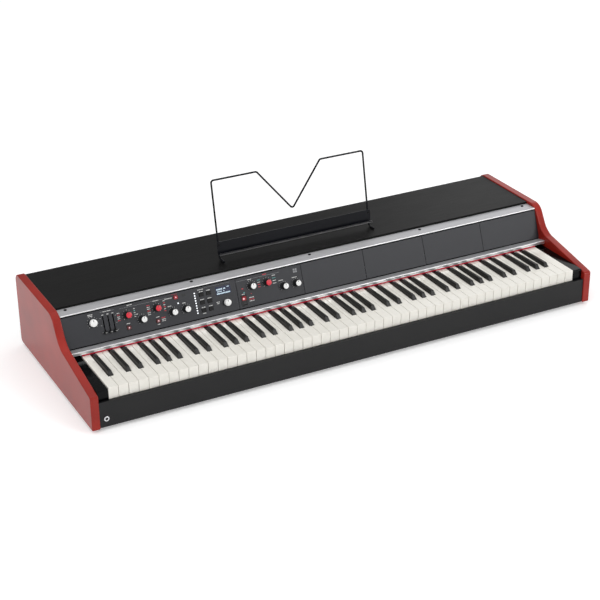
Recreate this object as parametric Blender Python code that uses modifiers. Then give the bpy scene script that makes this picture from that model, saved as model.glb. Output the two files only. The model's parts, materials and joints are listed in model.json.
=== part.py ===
"""A stage piano with 88 keys, two end cheeks, a steep control panel and a wire music stand.

Units are metres. +X is the player's right, +Y points away from the player and +Z is up. The origin is
on the surface that the piano stands on, under the middle of its box. Most sections are drawn in the
side view, as (back, up): how far a point lies behind the front edge of the white keys, and how far
above the lower edge of the cheeks.
"""

import math

import bmesh
import bpy
from mathutils import Matrix, Vector

MM = 0.001

# Clearances
SEAT_GAP = 0.3 * MM
RUNNING_GAP = 0.6 * MM

# White keys
WHITE_KEYS = 52
KEY_PITCH = 23.5 * MM
KEY_GAP = 1.0 * MM
WHITE_TOP = 89.3 * MM
WHITE_DEPTH = 27.3 * MM
WHITE_REACH = 156.6 * MM
WHITE_PIVOT = 245.0 * MM
WHITE_TAIL = 11.0 * MM
KEY_TRAVEL = 10.0 * MM
SINGLE_OCTAVE = 4
COMB_BAR = 12.0 * MM

# Black keys
BLACK_WIDTH = 11.5 * MM
BLACK_CROWN = 7.8 * MM
BLACK_FRONT = 49.0 * MM
BLACK_LENGTH = 99.0 * MM
BLACK_SLANT = 7.0 * MM
BLACK_RISE_FRONT = 9.5 * MM
BLACK_RISE_BACK = 6.2 * MM
BLACK_SIDE_GAP = 0.8 * MM
BLACK_PIVOT = 220.0 * MM
BLACK_LEG = 16.0 * MM
BLACK_LEG_DROP = 3.0 * MM
BLACK_CROWN_BACK_SLANT = 1.0 * MM
BLACK_SHOULDER_DROP = 0.4 * MM
BLACK_FRONT_GAP = 2.0 * MM
BLACK_BAR = 6.0 * MM
BLACK_BAR_HEIGHT = 8.0 * MM
BLACK_BAR_CLEAR = 1.6 * MM
BLACK_BAR_INSET = 0.2 * MM
# How far each black key's middle lies from the joint of its two white keys, in key pitches
BLACK_OFFSETS = {"A": 0.10, "C": -0.14, "D": 0.12, "F": -0.14, "G": 0.0}

# Key frame under the keys
FRAME_PLATE = 3.7 * MM
RAIL_WIDTH = 8.0 * MM
STOP_RAIL_BACK = 14.0 * MM
STOP_RAIL_WIDTH = 20.0 * MM
FRAME_BACK_MARGIN = 6.0 * MM
FRAME_END_GAP = 1.0 * MM

# Cheeks
CHEEK_THICK = 19.2 * MM
CHEEK_DEPTH = 474.3 * MM
CHEEK_SETBACK = 11.9 * MM
CHEEK_REVEAL = 2.5 * MM
CHEEK_BROW_RADIUS = 32.0 * MM
CHEEK_NOTCH_RADIUS = 50.0 * MM
CHEEK_NOSE_RADIUS = 5.0 * MM
CHEEK_HEEL_RADIUS = 10.0 * MM
CHEEK_CROWN_RADIUS = 20.0 * MM
CHEEK_TOE_RADIUS = 2.0 * MM
CHEEK_EDGE = 1.4 * MM
CHEEK_NOSE_DROP = 7.9 * MM
CHEEK_BROW_SETBACK = 3.2 * MM
CHEEK_NOTCH_SETBACK = 17.4 * MM
CHEEK_NOTCH_RISE = 14.6 * MM

# Key blocks beside the keys
BLOCK_WIDTH = 26.1 * MM
BLOCK_TOP_DROP = 1.9 * MM
BLOCK_EDGE = 1.5 * MM
BLOCK_NOSE_RADIUS = 3.0 * MM
BLOCK_BACK = 176.0 * MM

# Key slip along the front
SLIP_THICK = 7.6 * MM
SLIP_SETBACK = 2.8 * MM
SLIP_COVER = 0.8 * MM
SLIP_FOOT_THICK = 18.0 * MM
SLIP_FOOT_HEIGHT = 46.6 * MM
SLIP_LIFT = 1.4 * MM
SLIP_EDGE = 2.0 * MM
SLIP_BACK_EDGE = 1.0 * MM

# Boards
BOTTOM_THICK = 12.0 * MM
TOP_THICK = 15.0 * MM
BACK_THICK = 12.0 * MM
BACK_RECESS = 16.5 * MM
TRIM_REBATE_SHELF = 26.0 * MM
BOARD_EDGE = 1.0 * MM

# Lower trim rail and the felt under it
TRIM_SHEET = 2.6 * MM
LOWER_TRIM_CLEAR = 5.6 * MM
LOWER_TRIM_COVER = 1.1 * MM
LOWER_TRIM_LIP = 8.3 * MM
LOWER_TRIM_DEPTH = 26.0 * MM
LOWER_TRIM_FALL = 5.2 * MM
LOWER_TRIM_EDGE = 1.2 * MM
FELT_THICK = 2.6 * MM

# Panel bay
PANEL_LEAN = math.radians(21.0)
PANEL_SPAN = 71.5 * MM
PANEL_SHEET = 2.0 * MM
PANEL_LIFT = 2.8 * MM
PANEL_SEAM = 1.2 * MM
CONTROL_MARGIN = 14.2 * MM
MODULE_WIDTH = 171.3 * MM
BLANK_PANELS = 4
RAIL_RIB = 2.5 * MM
RAIL_RIB_COVER = 6.0 * MM

# Upper trim rail
UPPER_TRIM_SHEET = 3.2 * MM
UPPER_TRIM_DEPTH = 35.0 * MM
UPPER_TRIM_GAP = 2.3 * MM
UPPER_TRIM_SETBACK = 0.1 * MM
UPPER_TRIM_EDGE = 1.0 * MM
BOARD_STEP = 5.0 * MM

# Knobs: (cap radius, body radius, height)
LARGE_KNOB = (8.9 * MM, 9.4 * MM, 10.0 * MM)
ENCODER_KNOB = (8.2 * MM, 8.7 * MM, 10.0 * MM)
SMALL_KNOB = (6.7 * MM, 8.2 * MM, 14.5 * MM)
KNOB_SKIRT_HEIGHT = 3.0 * MM
KNOB_SKIRT_COVER = 0.8 * MM
KNOB_EDGE = 0.8 * MM
SHAFT_RADIUS = 3.0 * MM
SHAFT_DEPTH = 9.0 * MM
KNOB_STEPS = 20

# Knobs and buttons of the control panel, across from the left cheek
VOLUME_OFFSET = 71.7 * MM
REVERB_BUTTON_OFFSET = 153.1 * MM
REVERB_TYPE_OFFSET = 154.0 * MM
REVERB_DEPTH_OFFSET = 188.1 * MM
MODULATION_BUTTON_OFFSET = 224.5 * MM
MODULATION_TYPE_OFFSET = 226.2 * MM
MODULATION_RATE_OFFSET = 263.7 * MM
TREMOLO_OFFSET = 275.5 * MM
MODULATION_DEPTH_OFFSET = 296.0 * MM
ENCODER_OFFSET = 397.8 * MM

# Knobs of the effects panel, across from its left seam and, for an inset, from its right seam
DRIVE_OFFSET = 38.3 * MM
EFFECT_TYPE_OFFSET = 78.3 * MM
EFFECT_RATE_INSET = 51.2 * MM
EFFECT_DEPTH_INSET = 17.9 * MM

# Rows of controls, up the panel from its lower edge
KNOB_ROW_HIGH = 47.2 * MM
KNOB_ROW_LOW = 29.9 * MM
VOLUME_UP = 46.7 * MM
ENCODER_UP = 22.7 * MM
BUTTON_ROW = 17.6 * MM
TREMOLO_DROP = 10.3 * MM

# Buttons, keypad, sliders and rocker; an offset runs from the left cheek, or, for the rocker, from
# the left seam of the effects panel
BUTTON_SIZE = (9.4 * MM, 8.6 * MM)
BUTTON_RISE = 2.2 * MM
BUTTON_DEPTH = 6.0 * MM
BUTTON_CORNER = 1.4 * MM
KEYPAD_KEY = (11.0 * MM, 8.0 * MM)
KEYPAD_PITCH = (18.3 * MM, 18.4 * MM)
KEYPAD_COLUMNS = 2
KEYPAD_ROWS = 3
KEYPAD_OFFSET = 347.6 * MM
KEYPAD_UP = 35.3 * MM
KEYPAD_RISE = 1.6 * MM
KEYPAD_MAT = 2.0 * MM
KEYPAD_MARGIN = 4.0 * MM
DISPLAY_SIZE = (38.6 * MM, 19.8 * MM)
DISPLAY_OFFSET = 394.0 * MM
DISPLAY_UP = 52.8 * MM
DISPLAY_DEPTH = 1.2 * MM
SLIDER_OFFSETS = (96.7 * MM, 109.0 * MM, 120.7 * MM)
SLIDER_REST = 18.8 * MM
SLIDER_TRAVEL = 34.0 * MM
SLIDER_CAP = (5.6 * MM, 7.4 * MM, 9.0 * MM)
SLIDER_STEM = (1.8 * MM, 6.0 * MM, 8.0 * MM)
SLIDER_SLOT = 2.8 * MM
ROCKER_SIZE = (10.2 * MM, 19.4 * MM)
ROCKER_OFFSET = 14.2 * MM
ROCKER_UP = 17.3 * MM
ROCKER_DEPTH = 6.0 * MM
ROCKER_PIVOT_DEPTH = 2.0 * MM
ROCKER_HIGH = 3.0 * MM
ROCKER_LOW = 1.0 * MM

# Phones socket in the key slip
JACK_INSET = 15.5 * MM
JACK_UP = 22.0 * MM
JACK_FLANGE_RADIUS = 6.1 * MM
JACK_FLANGE = 1.6 * MM
JACK_BARREL_RADIUS = 4.8 * MM
JACK_BORE_RADIUS = 3.3 * MM
JACK_LENGTH = 30.0 * MM
JACK_BORE_LENGTH = 26.0 * MM
JACK_EDGE = 0.7 * MM

# Rear sockets
SOCKET_BAY_MARGIN = 158.0 * MM
SOCKET_BAY_WIDTH = 300.0 * MM
SOCKET_BAY_UP = 46.0 * MM
SOCKET_BAY_HEIGHT = 44.0 * MM
SOCKET_FLANGE = 2.0 * MM
SOCKET_FLANGE_COVER = 6.0 * MM
SOCKET_DEPTH = 22.0 * MM
SOCKET_BORE_DEPTH = 18.0 * MM
REAR_JACK_RADIUS = 3.3 * MM
REAR_JACK_PITCH = 26.0 * MM
REAR_JACKS = 4
REAR_DIN_RADIUS = 7.5 * MM
REAR_DINS = 2
SOCKET_MARGIN = 12.0 * MM
INLET_SIZE = (27.0 * MM, 19.0 * MM)
USB_SIZE = (12.0 * MM, 11.0 * MM)

# Main circuit board
BOARD_SIZE = (320.0 * MM, 120.0 * MM, 1.6 * MM)
BOARD_MARGIN = 18.9 * MM
STANDOFF_HEIGHT = 8.0 * MM
STANDOFF_RADIUS = 3.0 * MM
STANDOFF_INSET = 8.0 * MM

# Feet
FOOT_RADIUS = 15.0 * MM
FOOT_HEIGHT = 8.0 * MM
FOOT_TAPER = 1.5 * MM
FOOT_INSET_X = 60.0 * MM
FOOT_INSET_Y = 60.0 * MM

# Music stand
WIRE_RADIUS = 2.25 * MM
STAND_LEAN = math.radians(10.85)
STAND_BACK = 303.0 * MM
STAND_HALF_WIDTH = 204.0 * MM
STAND_RISE = 188.4 * MM
STAND_TOOTH = 85.4 * MM
STAND_NOTCH_RISE = 82.5 * MM
STAND_FOOT = 25.0 * MM
STAND_BEND = 6.0 * MM
STAND_FOOT_BEND = 9.0 * MM
TRAY_SHEET = 1.5 * MM
TRAY_OVERHANG = 4.5 * MM
TRAY_LIFT = 8.0 * MM
TRAY_RISE = 32.5 * MM
TRAY_LEDGE = 9.5 * MM
TRAY_LIP = 6.0 * MM

# Sizes that follow from the ones above
KEYS_WIDTH = WHITE_KEYS * KEY_PITCH
INNER_HALF = KEYS_WIDTH / 2 + BLOCK_WIDTH + RUNNING_GAP + SEAT_GAP
FRONT_Y = -CHEEK_DEPTH / 2 + CHEEK_SETBACK
BASE_Z = FOOT_HEIGHT
WHITE_UNDER = WHITE_TOP - WHITE_DEPTH
WHITE_END = WHITE_PIVOT + WHITE_TAIL
WHITE_BAR_FRONT = WHITE_END + KEY_GAP
BLACK_BACK = BLACK_FRONT + BLACK_LENGTH
BLACK_SHOULDER = WHITE_TOP - BLACK_SHOULDER_DROP
BLACK_FOOT = WHITE_UNDER - BLACK_LEG_DROP
BLACK_END = BLACK_PIVOT + BLACK_LEG / 2
CUT_FRONT = BLACK_FRONT - BLACK_FRONT_GAP
BACK_OUTER = CHEEK_DEPTH - CHEEK_SETBACK - BACK_RECESS
SLIP_FRONT = SLIP_SETBACK - CHEEK_SETBACK
SLIP_TOP = WHITE_UNDER + SLIP_COVER
LOWER_TRIM_FRONT = WHITE_REACH - LOWER_TRIM_COVER
LOWER_TRIM_FOOT = WHITE_TOP + LOWER_TRIM_CLEAR
LOWER_TRIM_TOP = LOWER_TRIM_FOOT + LOWER_TRIM_LIP
LOWER_TRIM_BACK = LOWER_TRIM_FRONT + LOWER_TRIM_DEPTH
LOWER_TRIM_HEEL = LOWER_TRIM_TOP - LOWER_TRIM_FALL
PANEL_FOOT = Vector((LOWER_TRIM_BACK, LOWER_TRIM_HEEL + PANEL_LIFT))
JACK_X = JACK_INSET - INNER_HALF
SOCKET_BAY_X = INNER_HALF - SOCKET_BAY_MARGIN - SOCKET_BAY_WIDTH / 2
CONTROL_WIDTH = DISPLAY_OFFSET + DISPLAY_SIZE[0] / 2 + CONTROL_MARGIN
EFFECTS_LEFT = CONTROL_WIDTH - INNER_HALF
EFFECTS_RIGHT = EFFECTS_LEFT + MODULE_WIDTH


def control_x(offset):
    """The x of a control at an offset from the left cheek."""
    return offset - INNER_HALF


def effects_x(offset):
    """The x of an effects control at an offset from its panel's left seam."""
    return EFFECTS_LEFT + offset


def panel_point(along, depth=0.0):
    """The (back, up) of a point along the panel from its foot and depth behind its face."""
    run = Vector((math.sin(PANEL_LEAN), math.cos(PANEL_LEAN)))
    inward = Vector((math.cos(PANEL_LEAN), -math.sin(PANEL_LEAN)))
    point = PANEL_FOOT + run * along + inward * depth
    return point.x, point.y


PANEL_HEAD = panel_point(PANEL_SPAN)
UPPER_TRIM_UNDER = PANEL_HEAD[1] + UPPER_TRIM_GAP
UPPER_TRIM_TOP = UPPER_TRIM_UNDER + UPPER_TRIM_SHEET
UPPER_TRIM_FRONT = PANEL_HEAD[0] + UPPER_TRIM_SETBACK
UPPER_TRIM_BACK = UPPER_TRIM_FRONT + UPPER_TRIM_DEPTH
BOARD_TOP = UPPER_TRIM_TOP + BOARD_STEP
BOARD_UNDER = BOARD_TOP - TOP_THICK
CHEEK_TOP = BOARD_TOP + CHEEK_REVEAL
STAND_FOOT_UP = BOARD_TOP + SEAT_GAP + WIRE_RADIUS
KEYPAD_X = control_x(KEYPAD_OFFSET)
DISPLAY_CENTRE = (control_x(DISPLAY_OFFSET), DISPLAY_UP)
SLIDER_XS = tuple(control_x(offset) for offset in SLIDER_OFFSETS)
ROCKER_CENTRE = (effects_x(ROCKER_OFFSET), ROCKER_UP)
TREMOLO_UP = PANEL_SPAN - TREMOLO_DROP

PARTS = bpy.data.collections.new("stage_piano")
CUTTERS = bpy.data.collections.new("stage_piano_cutters")


def clear_scene():
    """Empties the scene and adds the two collections."""
    for obj in list(bpy.data.objects):
        bpy.data.objects.remove(obj, do_unlink=True)
    CUTTERS.hide_render = True
    for collection in (PARTS, CUTTERS):
        bpy.context.scene.collection.children.link(collection)


def finish(obj, kind, colour, roughness, metallic=0.0):
    """Gives the object a material of its own."""
    material = bpy.data.materials.new(f"{obj.name}_{kind}")
    material.use_nodes = True
    shader = material.node_tree.nodes["Principled BSDF"]
    shader.inputs["Base Color"].default_value = (*colour, 1.0)
    shader.inputs["Roughness"].default_value = roughness
    shader.inputs["Metallic"].default_value = metallic
    material.diffuse_color = (*colour, 1.0)
    obj.data.materials.clear()
    obj.data.materials.append(material)


def red_lacquer(obj):
    finish(obj, "red_lacquer", (0.36, 0.03, 0.03), 0.25)


def black_ash(obj):
    finish(obj, "black_ash", (0.02, 0.02, 0.02), 0.45)


def black_paint(obj):
    finish(obj, "black_paint", (0.012, 0.012, 0.013), 0.4)


def dark_panel(obj):
    finish(obj, "dark_panel", (0.065, 0.065, 0.072), 0.5)


def brushed_aluminium(obj):
    finish(obj, "brushed_aluminium", (0.62, 0.62, 0.63), 0.35, 1.0)


def ivory_plastic(obj):
    finish(obj, "ivory_plastic", (0.83, 0.81, 0.74), 0.3)


def black_plastic(obj):
    finish(obj, "black_plastic", (0.015, 0.014, 0.014), 0.35)


def black_wire(obj):
    finish(obj, "black_wire", (0.02, 0.02, 0.022), 0.45)


def red_felt(obj):
    finish(obj, "red_felt", (0.55, 0.01, 0.03), 0.95)


def white_cap(obj):
    finish(obj, "white_cap", (0.85, 0.85, 0.84), 0.35)


def red_cap(obj):
    finish(obj, "red_cap", (0.6, 0.03, 0.05), 0.35)


def red_lens(obj):
    finish(obj, "red_lens", (0.35, 0.02, 0.02), 0.2)


def chrome(obj):
    finish(obj, "chrome", (0.75, 0.75, 0.76), 0.12, 1.0)


def mill_aluminium(obj):
    finish(obj, "mill_aluminium", (0.5, 0.5, 0.51), 0.5, 1.0)


def rubber(obj):
    finish(obj, "rubber", (0.02, 0.02, 0.02), 0.9)


def green_board(obj):
    finish(obj, "green_board", (0.01, 0.12, 0.05), 0.5)


def rounded_outline(corners, step=math.radians(15)):
    """Turns corners, each (across, up, radius), into points with an arc at every radius."""
    points = []
    for index, (across, up, radius) in enumerate(corners):
        corner = Vector((across, up))
        if not radius:
            points.append(corner)
            continue
        before = (Vector(corners[index - 1][:2]) - corner).normalized()
        after = (Vector(corners[(index + 1) % len(corners)][:2]) - corner).normalized()
        half = before.angle(after) / 2
        centre = corner + (before + after).normalized() * (radius / math.sin(half))
        start = corner + before * (radius / math.tan(half)) - centre
        end = corner + after * (radius / math.tan(half)) - centre
        turn = math.atan2(start.x * end.y - start.y * end.x, start.dot(end))
        count = max(1, math.ceil(abs(turn) / step))
        for number in range(count + 1):
            points.append(centre + Matrix.Rotation(turn * number / count, 2) @ start)
    return [tuple(point) for point in points]


def rectangle(low_x, low_y, high_x, high_y, radius=0.0):
    """The four corners of a rectangle, in order, with one radius."""
    return [(low_x, low_y, radius), (high_x, low_y, radius), (high_x, high_y, radius), (low_x, high_y, radius)]


def curve_to_mesh(curve_object):
    """Replaces a curve object by a closed mesh object of the same name and place."""
    graph = bpy.context.evaluated_depsgraph_get()
    mesh = bpy.data.meshes.new_from_object(curve_object.evaluated_get(graph))
    shape = bmesh.new()
    shape.from_mesh(mesh)
    bmesh.ops.remove_doubles(shape, verts=shape.verts, dist=0.00001)
    bmesh.ops.recalc_face_normals(shape, faces=shape.faces)
    shape.to_mesh(mesh)
    shape.free()
    name = curve_object.name
    place = curve_object.matrix_world.copy()
    bpy.data.objects.remove(curve_object, do_unlink=True)
    obj = bpy.data.objects.new(name, mesh)
    obj.matrix_world = place
    PARTS.objects.link(obj)
    return obj


def prism(name, outline, thickness, place, edge=0.0):
    """A closed outline, drawn in the local XY plane, made thick along local Z about the plane.

    An edge above 0 rounds the two rims by that radius and leaves the outline's size as it is.
    """
    curve = bpy.data.curves.new(name, "CURVE")
    curve.dimensions = "2D"
    curve.fill_mode = "BOTH"
    curve.extrude = thickness / 2 - edge
    curve.bevel_depth = edge
    curve.bevel_resolution = 1
    curve.offset = -edge
    spline = curve.splines.new("POLY")
    spline.points.add(len(outline) - 1)
    for point, (across, up) in zip(spline.points, outline):
        point.co = (across, up, 0.0, 1.0)
    spline.use_cyclic_u = True
    obj = bpy.data.objects.new(name, curve)
    PARTS.objects.link(obj)
    obj.matrix_world = place
    bpy.context.view_layer.update()
    return curve_to_mesh(obj)


def side_place(x, pivot=(0.0, 0.0)):
    """Stands a local XY drawing in the side view: local X is back, local Y is up, local Z is +X."""
    turn = Matrix(((0, 0, 1), (1, 0, 0), (0, 1, 0))).to_4x4()
    return Matrix.Translation((x, FRONT_Y + pivot[0], BASE_Z + pivot[1])) @ turn


def plan_place(up, back=0.0):
    """Lays a local XY drawing flat, with its middle plane at a height."""
    return Matrix.Translation((0.0, FRONT_Y + back, BASE_Z + up))


def panel_place(x, along, rise=0.0):
    """A frame on the panel: local X is +X, local Y runs up the panel, local Z points out of it."""
    back, up = panel_point(along, -rise)
    turn = Matrix.Rotation(math.pi / 2 - PANEL_LEAN, 4, "X")
    return Matrix.Translation((x, FRONT_Y + back, BASE_Z + up)) @ turn


def side_prism(name, corners, low_x, high_x, edge=0.0, pivot=(0.0, 0.0)):
    """A side-view outline made thick from one x to another, with its origin at the pivot."""
    outline = [(back - pivot[0], up - pivot[1]) for back, up in rounded_outline(corners)]
    return prism(name, outline, high_x - low_x, side_place((low_x + high_x) / 2, pivot), edge)


def panel_prism(name, corners, low_rise, high_rise, x=0.0, along=0.0):
    """An outline in the panel's plane, made thick from one height over the panel's face to another."""
    place = panel_place(x, along, (low_rise + high_rise) / 2)
    return prism(name, rounded_outline(corners), high_rise - low_rise, place)


def turned(name, profile, place, steps=KNOB_STEPS):
    """A profile of (radius, height), from top to bottom down its outer side, turned about local Z."""
    mesh = bpy.data.meshes.new(name)
    points = [(radius, 0.0, height) for radius, height in profile]
    mesh.from_pydata(points, [(index, index + 1) for index in range(len(points) - 1)], [])
    obj = bpy.data.objects.new(name, mesh)
    PARTS.objects.link(obj)
    obj.matrix_world = place
    screw = obj.modifiers.new("turn", "SCREW")
    screw.steps = screw.render_steps = steps
    screw.use_merge_vertices = True
    screw.merge_threshold = 0.00001
    screw.use_smooth_shade = True
    return obj


def box(name, low, high):
    """A box between two corners, from a cube primitive."""
    bpy.ops.mesh.primitive_cube_add(size=1.0)
    obj = bpy.context.object
    obj.name = name
    middle = (Vector(low) + Vector(high)) / 2
    span = Vector(high) - Vector(low)
    obj.data.transform(Matrix.Translation(middle) @ Matrix.Diagonal((*span, 1.0)))
    move_to(obj, PARTS)
    return obj


def cylinder(name, radius, length, place, sides=20):
    """A cylinder about local Z, with its middle at the place."""
    bpy.ops.mesh.primitive_cylinder_add(vertices=sides, radius=radius, depth=length)
    obj = bpy.context.object
    obj.name = name
    obj.matrix_world = place
    move_to(obj, PARTS)
    return obj


def move_to(obj, collection):
    """Takes an object out of its collections and into this one."""
    for old in list(obj.users_collection):
        old.objects.unlink(obj)
    collection.objects.link(obj)


def joined(name, objects):
    """One object that holds the meshes of several, in world space."""
    shape = bmesh.new()
    graph = bpy.context.evaluated_depsgraph_get()
    for obj in objects:
        mesh = bpy.data.meshes.new_from_object(obj.evaluated_get(graph))
        mesh.transform(obj.matrix_world)
        shape.from_mesh(mesh)
        bpy.data.objects.remove(obj, do_unlink=True)
    mesh = bpy.data.meshes.new(name)
    shape.to_mesh(mesh)
    shape.free()
    obj = bpy.data.objects.new(name, mesh)
    PARTS.objects.link(obj)
    return obj


def combine(obj, tool, operation):
    """Cuts the tool out of the object, or joins it on, with a live Boolean."""
    bpy.context.view_layer.update()
    move_to(tool, CUTTERS)
    tool.hide_render = True
    tool.display_type = "WIRE"
    modifier = obj.modifiers.new(operation.lower(), "BOOLEAN")
    modifier.operation = operation
    modifier.object = tool
    modifier.solver = "EXACT"
    return obj


def cut(obj, *tools):
    """Cuts several shapes out of the object as one tool."""
    return combine(obj, joined(f"{obj.name}_cutter", tools), "DIFFERENCE")


def join_on(obj, *tools):
    """Joins several shapes onto the object as one tool."""
    return combine(obj, joined(f"{obj.name}_joined", tools), "UNION")


def mirrored_pair(make):
    """Calls make with "left" and -1, then with "right" and 1."""
    for side, sign in (("left", -1), ("right", 1)):
        make(side, sign)


def sided(sign, near, far):
    """The low and high x of a span that lies from near to far on one side of the middle."""
    return tuple(sorted((sign * near, sign * far)))


def cheek(side, sign):
    """The lacquered end panel, drawn from its lower front corner round the back to its nose."""
    front = -CHEEK_SETBACK
    back = front + CHEEK_DEPTH
    brow = UPPER_TRIM_FRONT + CHEEK_BROW_SETBACK
    notch_back = LOWER_TRIM_FRONT + CHEEK_NOTCH_SETBACK
    notch_up = LOWER_TRIM_TOP + CHEEK_NOTCH_RISE
    nose = WHITE_TOP - CHEEK_NOSE_DROP
    corners = [
        (front, 0.0, CHEEK_TOE_RADIUS),
        (back, 0.0, CHEEK_HEEL_RADIUS),
        (back, CHEEK_TOP, CHEEK_CROWN_RADIUS),
        (brow, CHEEK_TOP, CHEEK_BROW_RADIUS),
        (notch_back, notch_up, CHEEK_NOTCH_RADIUS),
        (front, nose, CHEEK_NOSE_RADIUS),
    ]
    low, high = sided(sign, INNER_HALF, INNER_HALF + CHEEK_THICK)
    red_lacquer(side_prism(f"{side}_cheek", corners, low, high, CHEEK_EDGE))


def key_block(side, sign):
    """The black block between the outermost white key and the cheek."""
    corners = [
        (0.0, SLIP_LIFT + SLIP_FOOT_HEIGHT + SEAT_GAP, 0.0),
        (BLOCK_BACK, SLIP_LIFT + SLIP_FOOT_HEIGHT + SEAT_GAP, 0.0),
        (BLOCK_BACK, WHITE_TOP - BLOCK_TOP_DROP, 0.0),
        (0.0, WHITE_TOP - BLOCK_TOP_DROP, BLOCK_NOSE_RADIUS),
    ]
    near = KEYS_WIDTH / 2 + RUNNING_GAP
    low, high = sided(sign, near, near + BLOCK_WIDTH)
    black_paint(side_prism(f"{side}_key_block", corners, low, high, BLOCK_EDGE))


def boards():
    """The bottom, top and back boards between the cheeks."""
    half = INNER_HALF - SEAT_GAP
    slip_back = SLIP_FRONT + SLIP_FOOT_THICK
    bottom = rectangle(slip_back + SEAT_GAP, 0.0, BACK_OUTER, BOTTOM_THICK)
    black_paint(side_prism("bottom_board", bottom, -half, half))

    back = rectangle(BACK_OUTER - BACK_THICK, BOTTOM_THICK + SEAT_GAP, BACK_OUTER, BOARD_UNDER - SEAT_GAP)
    back_board = side_prism("back_board", back, -half, half)
    socket_hole = box(
        "socket_hole",
        (SOCKET_BAY_X - SOCKET_BAY_WIDTH / 2 - SEAT_GAP, FRONT_Y + BACK_OUTER - 2 * BACK_THICK,
         BASE_Z + SOCKET_BAY_UP - SEAT_GAP),
        (SOCKET_BAY_X + SOCKET_BAY_WIDTH / 2 + SEAT_GAP, FRONT_Y + BACK_OUTER + BACK_THICK,
         BASE_Z + SOCKET_BAY_UP + SOCKET_BAY_HEIGHT + SEAT_GAP),
    )
    black_paint(cut(back_board, socket_hole))

    shelf = UPPER_TRIM_UNDER - SEAT_GAP
    top = [
        (UPPER_TRIM_BACK - TRIM_REBATE_SHELF, BOARD_UNDER, 0.0),
        (BACK_OUTER, BOARD_UNDER, 0.0),
        (BACK_OUTER, BOARD_TOP, BOARD_EDGE),
        (UPPER_TRIM_BACK + SEAT_GAP, BOARD_TOP, BOARD_EDGE),
        (UPPER_TRIM_BACK + SEAT_GAP, shelf, 0.0),
        (UPPER_TRIM_BACK - TRIM_REBATE_SHELF, shelf, 0.0),
    ]
    black_ash(side_prism("top_board", top, -half, half))


def key_slip():
    """The front rail, thick at its foot, with a hole for the phones socket."""
    half = INNER_HALF - SEAT_GAP
    front = SLIP_FRONT
    shoulder = SLIP_LIFT + SLIP_FOOT_HEIGHT
    corners = [
        (front, SLIP_LIFT, 0.0),
        (front + SLIP_FOOT_THICK, SLIP_LIFT, 0.0),
        (front + SLIP_FOOT_THICK, shoulder, 0.0),
        (front + SLIP_THICK, shoulder, 0.0),
        (front + SLIP_THICK, SLIP_TOP, SLIP_BACK_EDGE),
        (front, SLIP_TOP, SLIP_EDGE),
    ]
    slip = side_prism("key_slip", corners, -half, half)
    hole = cylinder("jack_hole", JACK_BARREL_RADIUS + SEAT_GAP, 4 * SLIP_FOOT_THICK, jack_place(0.0))
    black_paint(cut(slip, hole))


def jack_place(depth):
    """A frame at the phones socket whose local Z points towards the player."""
    turn = Matrix.Rotation(math.pi / 2, 4, "X")
    return Matrix.Translation((JACK_X, FRONT_Y + SLIP_FRONT + depth, BASE_Z + JACK_UP)) @ turn


def phones_jack():
    """The chromed socket: a flange on the key slip and a barrel with a blind bore behind it."""
    face = JACK_FLANGE + SEAT_GAP
    profile = [
        (0.0, face - JACK_BORE_LENGTH),
        (JACK_BORE_RADIUS, face - JACK_BORE_LENGTH),
        (JACK_BORE_RADIUS, face),
        (JACK_FLANGE_RADIUS - JACK_EDGE, face),
        (JACK_FLANGE_RADIUS, face - JACK_EDGE),
        (JACK_FLANGE_RADIUS, SEAT_GAP),
        (JACK_BARREL_RADIUS, SEAT_GAP),
        (JACK_BARREL_RADIUS, face - JACK_LENGTH),
        (0.0, face - JACK_LENGTH),
    ]
    chrome(turned("phones_jack", profile, jack_place(0.0)))


def key_frame():
    """The aluminium frame that the keys rock on: a plate with a stop rail and two pivot rails."""
    half = KEYS_WIDTH / 2 - FRAME_END_GAP
    floor = BOTTOM_THICK + SEAT_GAP
    plate = floor + FRAME_PLATE
    front = SLIP_FRONT + SLIP_FOOT_THICK + SEAT_GAP
    stop_top = WHITE_UNDER - KEY_TRAVEL - RUNNING_GAP
    back = WHITE_BAR_FRONT + COMB_BAR + FRAME_BACK_MARGIN
    corners = [(front, floor, 0.0), (back, floor, 0.0), (back, plate, 0.0)]
    rails = (
        (WHITE_PIVOT, RAIL_WIDTH, WHITE_UNDER - SEAT_GAP),
        (BLACK_PIVOT, RAIL_WIDTH, BLACK_FOOT - SEAT_GAP),
        (STOP_RAIL_BACK + STOP_RAIL_WIDTH / 2, STOP_RAIL_WIDTH, stop_top),
    )
    for middle, width, top in rails:
        corners.append((middle + width / 2, plate, 0.0))
        corners.append((middle + width / 2, top, 0.0))
        corners.append((middle - width / 2, top, 0.0))
        corners.append((middle - width / 2, plate, 0.0))
    corners.append((front, plate, 0.0))
    mill_aluminium(side_prism("key_frame", corners, -half, half))


def letter(white):
    """The letter of a white key, counted from the lowest."""
    return "ABCDEFG"[white % 7]


def octave(white):
    """The octave number of a white key."""
    return (white + 5) // 7


def white_x(white):
    """The x of a white key's left side, at the middle of the gap before it."""
    return (white - WHITE_KEYS / 2) * KEY_PITCH


def black_x(white):
    """The x of the middle of the black key that follows a white key."""
    return white_x(white + 1) + BLACK_OFFSETS[letter(white)] * KEY_PITCH


def has_black(white):
    """Whether a black key follows this white key."""
    return 0 <= white < WHITE_KEYS - 1 and letter(white) in BLACK_OFFSETS


def is_single(white):
    """Whether the key is one of the octave whose keys each swing by themselves."""
    return octave(white) == SINGLE_OCTAVE


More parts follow.
